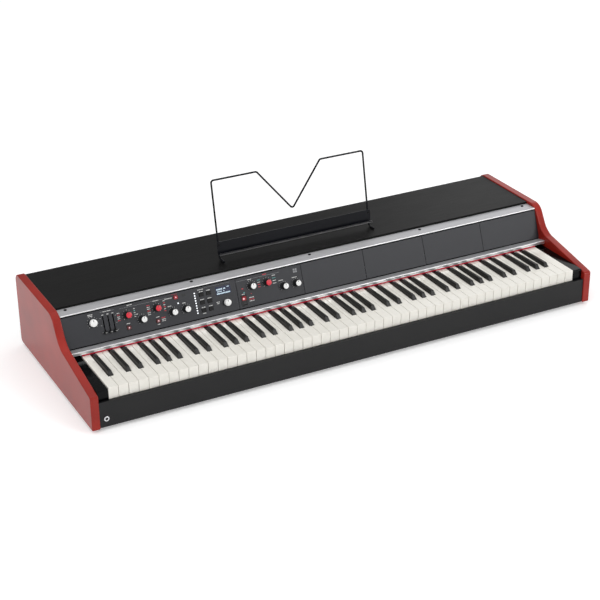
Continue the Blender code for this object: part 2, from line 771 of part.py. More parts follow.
def white_edge(white, end):
    """The plan outline of a white key, from its left tail round its front to its right tail."""
    room = BLACK_WIDTH / 2 + BLACK_SIDE_GAP
    left = white_x(white) + KEY_GAP / 2
    right = white_x(white + 1) - KEY_GAP / 2
    points = []
    if has_black(white - 1):
        tail = black_x(white - 1) + room
        points += [(tail, end), (tail, CUT_FRONT), (left, CUT_FRONT)]
    else:
        points += [(left, end)]
    points += [(left, 0.0), (right, 0.0)]
    if has_black(white):
        tail = black_x(white) - room
        points += [(right, CUT_FRONT), (tail, CUT_FRONT), (tail, end)]
    else:
        points += [(right, end)]
    return points


def white_solid(name, outline, pivot_x=0.0):
    """A plan outline as thick as a white key, with its origin on the pivot of the white keys."""
    shifted = [(x - pivot_x, back - WHITE_PIVOT) for x, back in outline]
    obj = prism(name, shifted, WHITE_DEPTH, plan_place(WHITE_TOP - WHITE_DEPTH / 2, WHITE_PIVOT))
    obj.data.transform(Matrix.Translation((0.0, 0.0, WHITE_DEPTH / 2)))
    obj.location = (pivot_x, FRONT_Y + WHITE_PIVOT, BASE_Z + WHITE_UNDER)
    ivory_plastic(obj)
    return obj


def white_keys():
    """One octave of single white keys, and a comb of all the others on one bar behind them."""
    comb = []
    for white in range(WHITE_KEYS):
        if is_single(white):
            middle = white_x(white) + KEY_PITCH / 2
            white_solid(f"key_{letter(white)}{octave(white)}", white_edge(white, WHITE_END), middle)
        else:
            comb += white_edge(white, WHITE_BAR_FRONT)
    comb += [(comb[-1][0], WHITE_BAR_FRONT + COMB_BAR), (comb[0][0], WHITE_BAR_FRONT + COMB_BAR)]
    white_solid("white_key_comb", comb)


def black_solid(shape, x, end):
    """Models one black key in a bmesh: a body, a tapered crown pulled up and a leg pulled down."""
    made = bmesh.ops.create_cube(shape, size=1.0)
    span = Matrix.Diagonal((BLACK_WIDTH, end - BLACK_FRONT, BLACK_SHOULDER - WHITE_UNDER, 1.0))
    middle = Matrix.Translation((x, (end + BLACK_FRONT) / 2, (BLACK_SHOULDER + WHITE_UNDER) / 2))
    bmesh.ops.transform(shape, matrix=middle @ span, verts=made["verts"])
    faces = {face for vert in made["verts"] for face in vert.link_faces}
    leg_front = BLACK_PIVOT - BLACK_LEG / 2
    for back in (BLACK_BACK, leg_front):
        edges = {edge for face in faces for edge in face.edges}
        verts = {vert for face in faces for vert in face.verts}
        split = bmesh.ops.bisect_plane(
            shape, geom=[*verts, *edges, *faces], plane_co=(0.0, back, 0.0), plane_no=(0.0, 1.0, 0.0), dist=1e-7
        )
        faces = {item for item in split["geom"] if isinstance(item, bmesh.types.BMFace)}
    crown = next(
        face for face in faces if face.normal.z > 0.9 and face.calc_center_median().y < BLACK_BACK
    )
    leg = next(
        face for face in faces if face.normal.z < -0.9 and face.calc_center_median().y > leg_front
    )
    pulled = bmesh.ops.extrude_discrete_faces(shape, faces=[crown])["faces"][0]
    for vert in pulled.verts:
        at_front = vert.co.y < (BLACK_FRONT + BLACK_BACK) / 2
        vert.co.x = x + (vert.co.x - x) * BLACK_CROWN / BLACK_WIDTH
        vert.co.y += BLACK_SLANT if at_front else -BLACK_CROWN_BACK_SLANT
        vert.co.z = WHITE_TOP + (BLACK_RISE_FRONT if at_front else BLACK_RISE_BACK)
    pulled = bmesh.ops.extrude_discrete_faces(shape, faces=[leg])["faces"][0]
    for vert in pulled.verts:
        vert.co.z = BLACK_FOOT


def black_object(name, centres, end, pivot_x=0.0):
    """One object of black keys at these middles, with its origin on the pivot of the black keys."""
    shape = bmesh.new()
    for x in centres:
        black_solid(shape, x, end)
    pivot = Vector((pivot_x, BLACK_PIVOT, BLACK_FOOT))
    bmesh.ops.translate(shape, verts=shape.verts, vec=-pivot)
    bmesh.ops.recalc_face_normals(shape, faces=shape.faces)
    mesh = bpy.data.meshes.new(name)
    shape.to_mesh(mesh)
    shape.free()
    obj = bpy.data.objects.new(name, mesh)
    obj.location = pivot + Vector((0.0, FRONT_Y, BASE_Z))
    PARTS.objects.link(obj)
    black_plastic(obj)
    return obj


def black_keys():
    """The single black keys of one octave, and a comb of all the others on a bar under the white keys."""
    comb = []
    for white in range(WHITE_KEYS):
        if has_black(white) and is_single(white):
            name = f"key_{letter(white)}{octave(white)}_sharp"
            black_object(name, [black_x(white)], BLACK_END, black_x(white))
        elif has_black(white):
            comb.append(black_x(white))
    bar_front = BLACK_END + RUNNING_GAP
    obj = black_object("black_key_comb", comb, bar_front + BLACK_BAR)
    bar_back = bar_front + BLACK_BAR - BLACK_BAR_INSET
    bar_top = BASE_Z + WHITE_UNDER - BLACK_BAR_CLEAR
    edge = BLACK_WIDTH / 2 - BLACK_BAR_INSET
    bar = box(
        "black_bar",
        (comb[0] - edge, FRONT_Y + bar_front, bar_top - BLACK_BAR_HEIGHT),
        (comb[-1] + edge, FRONT_Y + bar_back, bar_top),
    )
    join_on(obj, bar)


def upper_trim():
    """The aluminium rail along the top of the panel, with a rib behind the panel's upper edge."""
    rib_low = PANEL_SPAN - RAIL_RIB_COVER
    rib_front = PANEL_SHEET + SEAT_GAP
    slope = math.tan(PANEL_LEAN)
    front_low = panel_point(rib_low, rib_front)
    root = UPPER_TRIM_UNDER
    front_root = front_low[0] + (root - front_low[1]) * slope
    corners = [
        (UPPER_TRIM_FRONT, root, 0.0),
        (front_root, root, 0.0),
        (*front_low, 0.0),
        (front_low[0] + RAIL_RIB, front_low[1], 0.0),
        (front_root + RAIL_RIB, root, 0.0),
        (UPPER_TRIM_BACK, root, 0.0),
        (UPPER_TRIM_BACK, UPPER_TRIM_TOP, 0.0),
        (UPPER_TRIM_FRONT, UPPER_TRIM_TOP, UPPER_TRIM_EDGE),
    ]
    half = INNER_HALF - SEAT_GAP
    brushed_aluminium(side_prism("upper_trim_rail", corners, -half, half))


def lower_trim():
    """The aluminium rail between panel and keys: a drop lip, a sloping top and a rib behind the panel."""
    rib_front = panel_point(RAIL_RIB_COVER, PANEL_SHEET + SEAT_GAP)
    slope = math.tan(PANEL_LEAN)
    heel_top = LOWER_TRIM_HEEL
    heel_under = heel_top - TRIM_SHEET
    rib_root = rib_front[0] - (rib_front[1] - heel_top) * slope
    front = LOWER_TRIM_FRONT
    corners = [
        (front, LOWER_TRIM_FOOT, 0.0),
        (front + TRIM_SHEET, LOWER_TRIM_FOOT, 0.0),
        (front + TRIM_SHEET, LOWER_TRIM_TOP - TRIM_SHEET, 0.0),
        (LOWER_TRIM_BACK, heel_under, 0.0),
        (rib_root + RAIL_RIB, heel_under, 0.0),
        (rib_front[0] + RAIL_RIB, rib_front[1], 0.0),
        (*rib_front, 0.0),
        (rib_root, heel_top, 0.0),
        (LOWER_TRIM_BACK, heel_top, 0.0),
        (front, LOWER_TRIM_TOP, LOWER_TRIM_EDGE),
    ]
    half = INNER_HALF - SEAT_GAP
    brushed_aluminium(side_prism("lower_trim_rail", corners, -half, half))


def key_felt():
    """The red felt strip behind the drop lip, just clear of the white keys."""
    front = LOWER_TRIM_FRONT + TRIM_SHEET + SEAT_GAP
    low = WHITE_TOP + RUNNING_GAP
    high = LOWER_TRIM_TOP - 2 * TRIM_SHEET
    half = KEYS_WIDTH / 2
    red_felt(side_prism("key_felt", rectangle(front, low, front + FELT_THICK, high), -half, half))


def panel_bounds():
    """The (low x, high x) of the control panel, the effects panel and the blank panels, left to right."""
    half = INNER_HALF - SEAT_GAP
    blank = (INNER_HALF - EFFECTS_RIGHT) / BLANK_PANELS
    joints = [EFFECTS_LEFT, *(EFFECTS_RIGHT + blank * number for number in range(BLANK_PANELS))]
    edges = [-half - PANEL_SEAM / 2, *joints, half + PANEL_SEAM / 2]
    return [(low + PANEL_SEAM / 2, high - PANEL_SEAM / 2) for low, high in zip(edges, edges[1:])]


def panel_sheet(name, low, high):
    """One panel module, a plate in the panel bay."""
    return panel_prism(name, rectangle(low, 0.0, high, PANEL_SPAN), -PANEL_SHEET, 0.0)


def aperture(x, along, size, corner=0.0):
    """A cutter through the panel, a running gap larger all round than what passes through it."""
    across = size[0] / 2 + RUNNING_GAP
    up = size[1] / 2 + RUNNING_GAP
    corners = rectangle(-across, -up, across, up, corner)
    return panel_prism("aperture", corners, -2 * PANEL_SHEET, 2 * PANEL_SHEET, x, along)


def shaft_hole(x, along):
    """A cutter for a knob's shaft."""
    return cylinder("shaft_hole", SHAFT_RADIUS + RUNNING_GAP, 4 * PANEL_SHEET, panel_place(x, along), 16)


# Each knob: name, x, place up the panel, size, whether its cap is red
CONTROL_KNOBS = (
    ("volume_knob", control_x(VOLUME_OFFSET), VOLUME_UP, LARGE_KNOB, False),
    ("reverb_type_knob", control_x(REVERB_TYPE_OFFSET), KNOB_ROW_HIGH, SMALL_KNOB, True),
    ("reverb_depth_knob", control_x(REVERB_DEPTH_OFFSET), KNOB_ROW_LOW, SMALL_KNOB, False),
    ("modulation_type_knob", control_x(MODULATION_TYPE_OFFSET), KNOB_ROW_HIGH, SMALL_KNOB, True),
    ("modulation_rate_knob", control_x(MODULATION_RATE_OFFSET), KNOB_ROW_LOW, SMALL_KNOB, False),
    ("modulation_depth_knob", control_x(MODULATION_DEPTH_OFFSET), KNOB_ROW_LOW, SMALL_KNOB, False),
    ("data_encoder_knob", control_x(ENCODER_OFFSET), ENCODER_UP, ENCODER_KNOB, False),
)
EFFECTS_KNOBS = (
    ("drive_knob", effects_x(DRIVE_OFFSET), KNOB_ROW_HIGH, SMALL_KNOB, False),
    ("effect_type_knob", effects_x(EFFECT_TYPE_OFFSET), KNOB_ROW_HIGH, SMALL_KNOB, True),
    ("effect_rate_knob", EFFECTS_RIGHT - EFFECT_RATE_INSET, KNOB_ROW_LOW, SMALL_KNOB, False),
    ("effect_depth_knob", EFFECTS_RIGHT - EFFECT_DEPTH_INSET, KNOB_ROW_LOW, SMALL_KNOB, False),
)
# Each button: name, x, place up the panel
BUTTONS = (
    ("reverb_button", control_x(REVERB_BUTTON_OFFSET), BUTTON_ROW),
    ("modulation_button", control_x(MODULATION_BUTTON_OFFSET), BUTTON_ROW),
    ("tremolo_button", control_x(TREMOLO_OFFSET), TREMOLO_UP),
)


def keypad_places():
    """The (x, along) of each key of the keypad."""
    for column in range(KEYPAD_COLUMNS):
        for row in range(KEYPAD_ROWS):
            x = KEYPAD_X + (column - (KEYPAD_COLUMNS - 1) / 2) * KEYPAD_PITCH[0]
            along = KEYPAD_UP + (row - (KEYPAD_ROWS - 1) / 2) * KEYPAD_PITCH[1]
            yield x, along


def control_panel(low, high):
    """The left module, with holes for its knobs, sliders and buttons and a recess for its display."""
    sheet = panel_sheet("control_panel", low, high)
    tools = [shaft_hole(x, along) for _, x, along, _, _ in CONTROL_KNOBS]
    tools += [aperture(x, along, BUTTON_SIZE, BUTTON_CORNER) for _, x, along in BUTTONS]
    tools += [aperture(x, along, KEYPAD_KEY) for x, along in keypad_places()]
    slot_middle = SLIDER_REST + SLIDER_TRAVEL / 2
    slot_size = (SLIDER_SLOT - 2 * RUNNING_GAP, SLIDER_STEM[1] + SLIDER_TRAVEL)
    tools += [aperture(x, slot_middle, slot_size) for x in SLIDER_XS]
    across, up = DISPLAY_SIZE[0] / 2, DISPLAY_SIZE[1] / 2
    recess = rectangle(-across, -up, across, up)
    tools.append(panel_prism("recess", recess, -DISPLAY_DEPTH, PANEL_SHEET, *DISPLAY_CENTRE))
    dark_panel(cut(sheet, *tools))


def effects_panel(low, high):
    """The second module, with holes for its knobs and rocker switch."""
    sheet = panel_sheet("effects_panel", low, high)
    tools = [shaft_hole(x, along) for _, x, along, _, _ in EFFECTS_KNOBS]
    room = (ROCKER_SIZE[0], ROCKER_SIZE[1] + 2 * RUNNING_GAP)
    tools.append(aperture(*ROCKER_CENTRE, room))
    dark_panel(cut(sheet, *tools))


def panels():
    """All the modules of the panel bay."""
    bounds = panel_bounds()
    control_panel(*bounds[0])
    effects_panel(*bounds[1])
    for number, (low, high) in enumerate(bounds[2:], 1):
        dark_panel(panel_sheet(f"blank_panel_{number}", low, high))


def knob(name, x, along, size, red):
    """A knob: a capped body on a low skirt, and the shaft that runs through the panel."""
    cap, body, height = size
    skirt = body + KNOB_SKIRT_COVER
    profile = [
        (0.0, height),
        (cap - KNOB_EDGE, height),
        (cap, height - KNOB_EDGE),
        (body, KNOB_SKIRT_HEIGHT),
        (skirt, KNOB_SKIRT_HEIGHT),
        (skirt, SEAT_GAP),
        (SHAFT_RADIUS, SEAT_GAP),
        (SHAFT_RADIUS, -SHAFT_DEPTH),
        (0.0, -SHAFT_DEPTH),
    ]
    obj = turned(name, profile, panel_place(x, along))
    if red:
        red_cap(obj)
    else:
        white_cap(obj)


def push_button(name, x, along):
    """A push button that slides in its aperture."""
    across, up = BUTTON_SIZE[0] / 2, BUTTON_SIZE[1] / 2
    corners = rectangle(-across, -up, across, up, BUTTON_CORNER)
    red_lens(panel_prism(name, corners, BUTTON_RISE - BUTTON_DEPTH, BUTTON_RISE, x, along))


def keypad():
    """Six keys moulded on one mat behind the panel."""
    half_x = KEYPAD_PITCH[0] * (KEYPAD_COLUMNS - 1) / 2 + KEYPAD_KEY[0] / 2 + KEYPAD_MARGIN
    half_y = KEYPAD_PITCH[1] * (KEYPAD_ROWS - 1) / 2 + KEYPAD_KEY[1] / 2 + KEYPAD_MARGIN
    top = -PANEL_SHEET - SEAT_GAP
    mat = rectangle(-half_x, -half_y, half_x, half_y)
    obj = panel_prism("display_keypad", mat, top - KEYPAD_MAT, top, KEYPAD_X, KEYPAD_UP)
    across, up = KEYPAD_KEY[0] / 2, KEYPAD_KEY[1] / 2
    corners = rectangle(-across, -up, across, up)
    keys = [
        panel_prism("keypad_key", corners, top - KEYPAD_MAT / 2, KEYPAD_RISE, x, along)
        for x, along in keypad_places()
    ]
    black_plastic(join_on(obj, *keys))


def slider(name, x):
    """A slider cap on a thin stem that runs in its slot."""
    cap_x, cap_y, cap_z = SLIDER_CAP
    stem_x, stem_y, stem_z = SLIDER_STEM
    cap_corners = rectangle(-cap_x / 2, -cap_y / 2, cap_x / 2, cap_y / 2)
    stem_corners = rectangle(-stem_x / 2, -stem_y / 2, stem_x / 2, stem_y / 2)
    obj = panel_prism(name, cap_corners, SEAT_GAP, cap_z, x, SLIDER_REST)
    stem = panel_prism("stem", stem_corners, -stem_z, cap_z / 2, x, SLIDER_REST)
    black_plastic(join_on(obj, stem))


def rocker():
    """The rocker switch, whose origin lies on its pivot behind the panel."""
    half = ROCKER_SIZE[1] / 2
    low = ROCKER_LOW - ROCKER_DEPTH
    outline = [(-half, low), (half, low), (half, ROCKER_HIGH), (0.0, ROCKER_LOW), (-half, ROCKER_LOW)]
    shifted = [(along, rise + ROCKER_PIVOT_DEPTH) for along, rise in outline]
    turn = Matrix(((0, 0, 1), (1, 0, 0), (0, 1, 0))).to_4x4()
    place = panel_place(*ROCKER_CENTRE, -ROCKER_PIVOT_DEPTH) @ turn
    red_lens(prism("effects_rocker", shifted, ROCKER_SIZE[0], place))


def controls():
    """Every knob, button, slider and switch."""
    for entry in CONTROL_KNOBS + EFFECTS_KNOBS:
        knob(*entry)
    for entry in BUTTONS:
        push_button(*entry)
    for number, x in enumerate(SLIDER_XS, 1):
        slider(f"level_slider_{number}", x)
    keypad()
    rocker()


def stand_point(x, rise, depth=0.0):
    """A point of the music stand: rise along its lean from the foot, depth behind the wire's middle."""
    along = Vector((0.0, math.sin(STAND_LEAN), math.cos(STAND_LEAN)))
    inward = Vector((0.0, math.cos(STAND_LEAN), -math.sin(STAND_LEAN)))
    foot = Vector((x, FRONT_Y + STAND_BACK, BASE_Z + STAND_FOOT_UP))
    return foot + along * rise + inward * depth


def bent_path(corners, step=math.radians(20)):
    """Points along straight runs, each corner (point, radius) turned into an arc."""
    points = [corners[0][0]]
    for (before, _), (corner, radius), (after, _) in zip(corners, corners[1:], corners[2:]):
        back = (before - corner).normalized()
        ahead = (after - corner).normalized()
        half = back.angle(ahead) / 2
        centre = corner + (back + ahead).normalized() * (radius / math.sin(half))
        start = corner + back * (radius / math.tan(half)) - centre
        axis = start.cross(corner - centre).normalized()
        turn = math.pi - 2 * half
        count = max(2, math.ceil(turn / step))
        for number in range(count + 1):
            points.append(centre + Matrix.Rotation(turn * number / count, 3, axis) @ start)
    points.append(corners[-1][0])
    return points


def stand_wire():
    """The bent wire: a foot on the board at each side, two shoulders and a notch between them."""
    half = [
        (stand_point(-STAND_HALF_WIDTH, 0.0) - Vector((0.0, STAND_FOOT, 0.0)), 0.0),
        (stand_point(-STAND_HALF_WIDTH, 0.0), STAND_FOOT_BEND),
        (stand_point(-STAND_HALF_WIDTH, STAND_RISE), STAND_BEND),
        (stand_point(-STAND_TOOTH, STAND_RISE), STAND_BEND),
    ]
    notch = (stand_point(0.0, STAND_NOTCH_RISE), STAND_BEND)
    other = [(Vector((-point.x, point.y, point.z)), radius) for point, radius in reversed(half)]
    curve = bpy.data.curves.new("music_stand_wire", "CURVE")
    curve.dimensions = "3D"
    curve.bevel_depth = WIRE_RADIUS
    curve.bevel_resolution = 2
    curve.use_fill_caps = True
    path = bent_path([*half, notch, *other])
    spline = curve.splines.new("POLY")
    spline.points.add(len(path) - 1)
    for point, place in zip(spline.points, path):
        point.co = (*place, 1.0)
    obj = bpy.data.objects.new("music_stand_wire", curve)
    PARTS.objects.link(obj)
    black_wire(obj)


def stand_tray():
    """The folded sheet in front of the wire: a back, a ledge and an upturned lip."""
    inner = -WIRE_RADIUS - SEAT_GAP
    outer = inner - TRAY_SHEET
    ledge = outer - TRAY_LEDGE
    low = TRAY_LIFT
    shape = [
        (low + TRAY_RISE, inner),
        (low, inner),
        (low, ledge - TRAY_SHEET),
        (low + TRAY_LIP, ledge - TRAY_SHEET),
        (low + TRAY_LIP, ledge),
        (low + TRAY_SHEET, ledge),
        (low + TRAY_SHEET, outer),
        (low + TRAY_RISE, outer),
    ]
    corners = []
    for rise, depth in shape:
        point = stand_point(0.0, rise, depth)
        corners.append((point.y - FRONT_Y, point.z - BASE_Z, 0.0))
    half = STAND_HALF_WIDTH + TRAY_OVERHANG
    black_wire(side_prism("music_stand_tray", corners, -half, half))


def socket_plate():
    """The steel socket plate set in the back board, with a row of blind sockets."""
    low = SOCKET_BAY_UP
    high = SOCKET_BAY_UP + SOCKET_BAY_HEIGHT
    face = BACK_OUTER + SEAT_GAP
    corners = [
        (face + SOCKET_FLANGE, low - SOCKET_FLANGE_COVER, 0.0),
        (face + SOCKET_FLANGE, high + SOCKET_FLANGE_COVER, 0.0),
        (face, high + SOCKET_FLANGE_COVER, 0.0),
        (face, high, 0.0),
        (face - SOCKET_DEPTH, high, 0.0),
        (face - SOCKET_DEPTH, low, 0.0),
        (face, low, 0.0),
        (face, low - SOCKET_FLANGE_COVER, 0.0),
    ]
    left = SOCKET_BAY_X - SOCKET_BAY_WIDTH / 2
    right = SOCKET_BAY_X + SOCKET_BAY_WIDTH / 2
    plate = side_prism("rear_socket_plate", corners, left, right)
    bottom = face + SOCKET_FLANGE - SOCKET_BORE_DEPTH
    middle = (low + high) / 2
    x = left + INLET_SIZE[0] / 2 + SOCKET_MARGIN
    tools = [socket_cutter(x, middle, bottom, INLET_SIZE)]
    x += INLET_SIZE[0] / 2 + REAR_JACK_PITCH
    for _ in range(REAR_JACKS):
        tools.append(socket_bore(x, middle, bottom, REAR_JACK_RADIUS))
        x += REAR_JACK_PITCH
    for _ in range(REAR_DINS):
        tools.append(socket_bore(x, middle, bottom, REAR_DIN_RADIUS))
        x += REAR_JACK_PITCH
    tools.append(socket_cutter(x, middle, bottom, USB_SIZE))
    black_paint(cut(plate, *tools))


def socket_cutter(x, up, bottom, size):
    """A cutter for a rectangular socket, from its blind end out past the plate's face."""
    across, high = size
    return box(
        "socket",
        (x - across / 2, FRONT_Y + bottom, BASE_Z + up - high / 2),
        (x + across / 2, FRONT_Y + bottom + 2 * SOCKET_DEPTH, BASE_Z + up + high / 2),
    )


def socket_bore(x, up, bottom, radius):
    """A cutter for a round socket, from its blind end out past the plate's face."""
    middle = Matrix.Translation((x, FRONT_Y + bottom + SOCKET_DEPTH, BASE_Z + up))
    return cylinder("socket", radius, 2 * SOCKET_DEPTH, middle @ Matrix.Rotation(math.pi / 2, 4, "X"), 16)


def main_board():
    """The main circuit board on four standoffs over the bottom board."""
    span_x, span_y, thick = BOARD_SIZE
    low = BOTTOM_THICK + SEAT_GAP
    under = low + STANDOFF_HEIGHT
    front = BACK_OUTER - BACK_THICK - BOARD_MARGIN - span_y
    board = box(
        "main_board",
        (-span_x / 2, FRONT_Y + front, BASE_Z + under),
        (span_x / 2, FRONT_Y + front + span_y, BASE_Z + under + thick),
    )
    posts = []
    length = STANDOFF_HEIGHT + thick / 2
    for x in (-span_x / 2 + STANDOFF_INSET, span_x / 2 - STANDOFF_INSET):
        for back in (front + STANDOFF_INSET, front + span_y - STANDOFF_INSET):
            place = Matrix.Translation((x, FRONT_Y + back, BASE_Z + low + length / 2))
            posts.append(cylinder("standoff", STANDOFF_RADIUS, length, place, 12))
    green_board(join_on(board, *posts))


def feet():
    """Four round rubber feet under the bottom board."""
    xs = (-INNER_HALF + FOOT_INSET_X, INNER_HALF - FOOT_INSET_X)
    ys = (FRONT_Y + FOOT_INSET_Y, FRONT_Y + BACK_OUTER - FOOT_INSET_Y)
    height = FOOT_HEIGHT - SEAT_GAP
    for side, x in zip(("left", "right"), xs):
        for end, y in zip(("front", "rear"), ys):
            profile = [
                (0.0, height),
                (FOOT_RADIUS, height),
                (FOOT_RADIUS - FOOT_TAPER, 0.0),
                (0.0, 0.0),
            ]
            rubber(turned(f"{end}_{side}_foot", profile, Matrix.Translation((x, y, 0.0)), 20))


def build():
    """Models the whole piano."""
    clear_scene()
    mirrored_pair(cheek)
    mirrored_pair(key_block)
    boards()
    key_slip()
    phones_jack()
    key_frame()
    white_keys()
    black_keys()
    upper_trim()
    lower_trim()
    key_felt()
    panels()
    controls()
    stand_wire()
    stand_tray()
    socket_plate()
    main_board()
    feet()


build()
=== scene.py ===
"""The looks of a stage piano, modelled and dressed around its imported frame.

Each sub-assembly is a class: its fields are its sizes, and its build method models its pieces, gives them
their finish and hands each one to the body that it moves with. Units are metres; +X is the player's right,
+Y points away from the player and +Z is up. Places are read from the frame wherever the frame has them.
"""

from __future__ import annotations

import json
import logging
import math
from collections.abc import Callable, Iterator, Sequence
from contextlib import contextmanager
from dataclasses import dataclass, field
from enum import Enum

import bmesh
import bpy
from bpy.types import Material, Node, NodeSocket, NodeTree, Object
from mathutils import Matrix, Vector

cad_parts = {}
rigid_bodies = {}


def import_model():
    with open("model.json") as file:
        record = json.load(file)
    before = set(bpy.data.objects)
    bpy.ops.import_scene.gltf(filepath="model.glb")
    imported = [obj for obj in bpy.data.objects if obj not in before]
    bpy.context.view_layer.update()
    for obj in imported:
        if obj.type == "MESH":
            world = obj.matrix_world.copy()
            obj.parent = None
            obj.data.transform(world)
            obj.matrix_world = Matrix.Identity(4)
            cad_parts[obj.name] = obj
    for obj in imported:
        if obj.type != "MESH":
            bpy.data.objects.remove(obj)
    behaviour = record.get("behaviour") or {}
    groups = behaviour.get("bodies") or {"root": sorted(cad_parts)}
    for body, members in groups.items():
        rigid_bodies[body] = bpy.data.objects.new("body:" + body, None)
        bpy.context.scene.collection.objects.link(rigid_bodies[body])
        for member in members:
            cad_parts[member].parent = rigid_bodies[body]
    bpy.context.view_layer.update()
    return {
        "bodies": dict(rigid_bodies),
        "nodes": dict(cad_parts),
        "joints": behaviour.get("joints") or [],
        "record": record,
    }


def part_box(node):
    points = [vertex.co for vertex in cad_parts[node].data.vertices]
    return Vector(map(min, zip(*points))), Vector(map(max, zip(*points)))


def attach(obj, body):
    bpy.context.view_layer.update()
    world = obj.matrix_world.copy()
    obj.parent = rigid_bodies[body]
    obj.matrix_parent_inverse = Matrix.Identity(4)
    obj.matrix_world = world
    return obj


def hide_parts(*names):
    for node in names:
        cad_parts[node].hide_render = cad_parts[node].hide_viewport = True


LOG = logging.getLogger("stage_piano")
MM = 0.001
UP = Vector((0.0, 0.0, 1.0))
DOWN = -UP
BACK = Vector((0.0, 1.0, 0.0))
CASE = "case"


# Small tools for colours and nodes


def linear(code: str) -> tuple[float, float, float, float]:
    """Turns an sRGB hex colour into a linear one.

    Args:
        code: The colour, as "#RRGGBB".

    Returns:
        Linear red, green and blue, with an alpha of 1.
    """
    parts = [int(code[place : place + 2], 16) / 255 for place in (1, 3, 5)]
    values = [part / 12.92 if part <= 0.04045 else ((part + 0.055) / 1.055) ** 2.4 for part in parts]
    return (*values, 1.0)


def per_metre(size: float) -> float:
    """The pattern scale whose features are about this long, in metres."""
    return 1.0 / size


def add_node(
    tree: NodeTree,
    kind: str,
    settings: dict[str | int, object] | None = None,
    links: dict[str | int, NodeSocket] | None = None,
) -> Node:
    """Adds a node with its settings and its incoming links.

    Args:
        tree: The material's or the world's node tree.
        kind: The node's type, such as "ShaderNodeBump".
        settings: Values for the node's own properties, or for its inputs by name or number.
        links: Sockets that feed its inputs, by name or number.

    Returns:
        The new node.
    """
    node = tree.nodes.new(kind)
    for key, value in (settings or {}).items():
        if isinstance(key, str) and key in node.bl_rna.properties:
            setattr(node, key, value)
        else:
            node.inputs[key].default_value = value
    for key, socket in (links or {}).items():
        tree.links.new(socket, node.inputs[key])
    return node


def noise(tree: NodeTree, place: NodeSocket, size: float, **inputs: float) -> NodeSocket:
    """The level of a noise pattern whose features are about this long, with its other inputs set."""
    settings = {"Scale": per_metre(size), **inputs}
    return add_node(tree, "ShaderNodeTexNoise", settings, {"Vector": place}).outputs["Fac"]


def drawn_out(tree: NodeTree, place: NodeSocket, length: float, width: float) -> NodeSocket:
    """The place in a pattern whose features are this long along X and this wide across it."""
    scale = (per_metre(length), per_metre(width), per_metre(width))
    return add_node(tree, "ShaderNodeMapping", {"Scale": scale}, {"Vector": place}).outputs["Vector"]


def remap(
    tree: NodeTree,
    value: NodeSocket,
    source: tuple[float, float],
    result: tuple[float, float],
    kind: str = "LINEAR",
) -> NodeSocket:
    """Carries a value from one range over to another, and holds it at the ends."""
    settings = {"interpolation_type": kind, "From Min": source[0], "From Max": source[1]}
    settings |= {"To Min": result[0], "To Max": result[1]}
    return add_node(tree, "ShaderNodeMapRange", settings, {"Value": value}).outputs["Result"]


def calculate(tree: NodeTree, operation: str, *values: NodeSocket | float) -> NodeSocket:
    """The result of a calculation with sockets and plain numbers."""
    numbers = {place: value for place, value in enumerate(values) if not isinstance(value, NodeSocket)}
    sockets = {place: value for place, value in enumerate(values) if isinstance(value, NodeSocket)}
    node = add_node(tree, "ShaderNodeMath", {"operation": operation, **numbers}, sockets)
    return node.outputs["Value"]


# Where a colour mix node has its colours and its result
MIX_FACTOR, MIX_DARK, MIX_LIGHT, MIX_RESULT = 0, 6, 7, 2
# The levels of a pattern between which the colour and the roughness change
TINT_LEVELS = (0.3, 0.7)
ROUGH_LEVELS = (0.25, 0.75)


# Finishes: what each real surface is made of and how it was worked


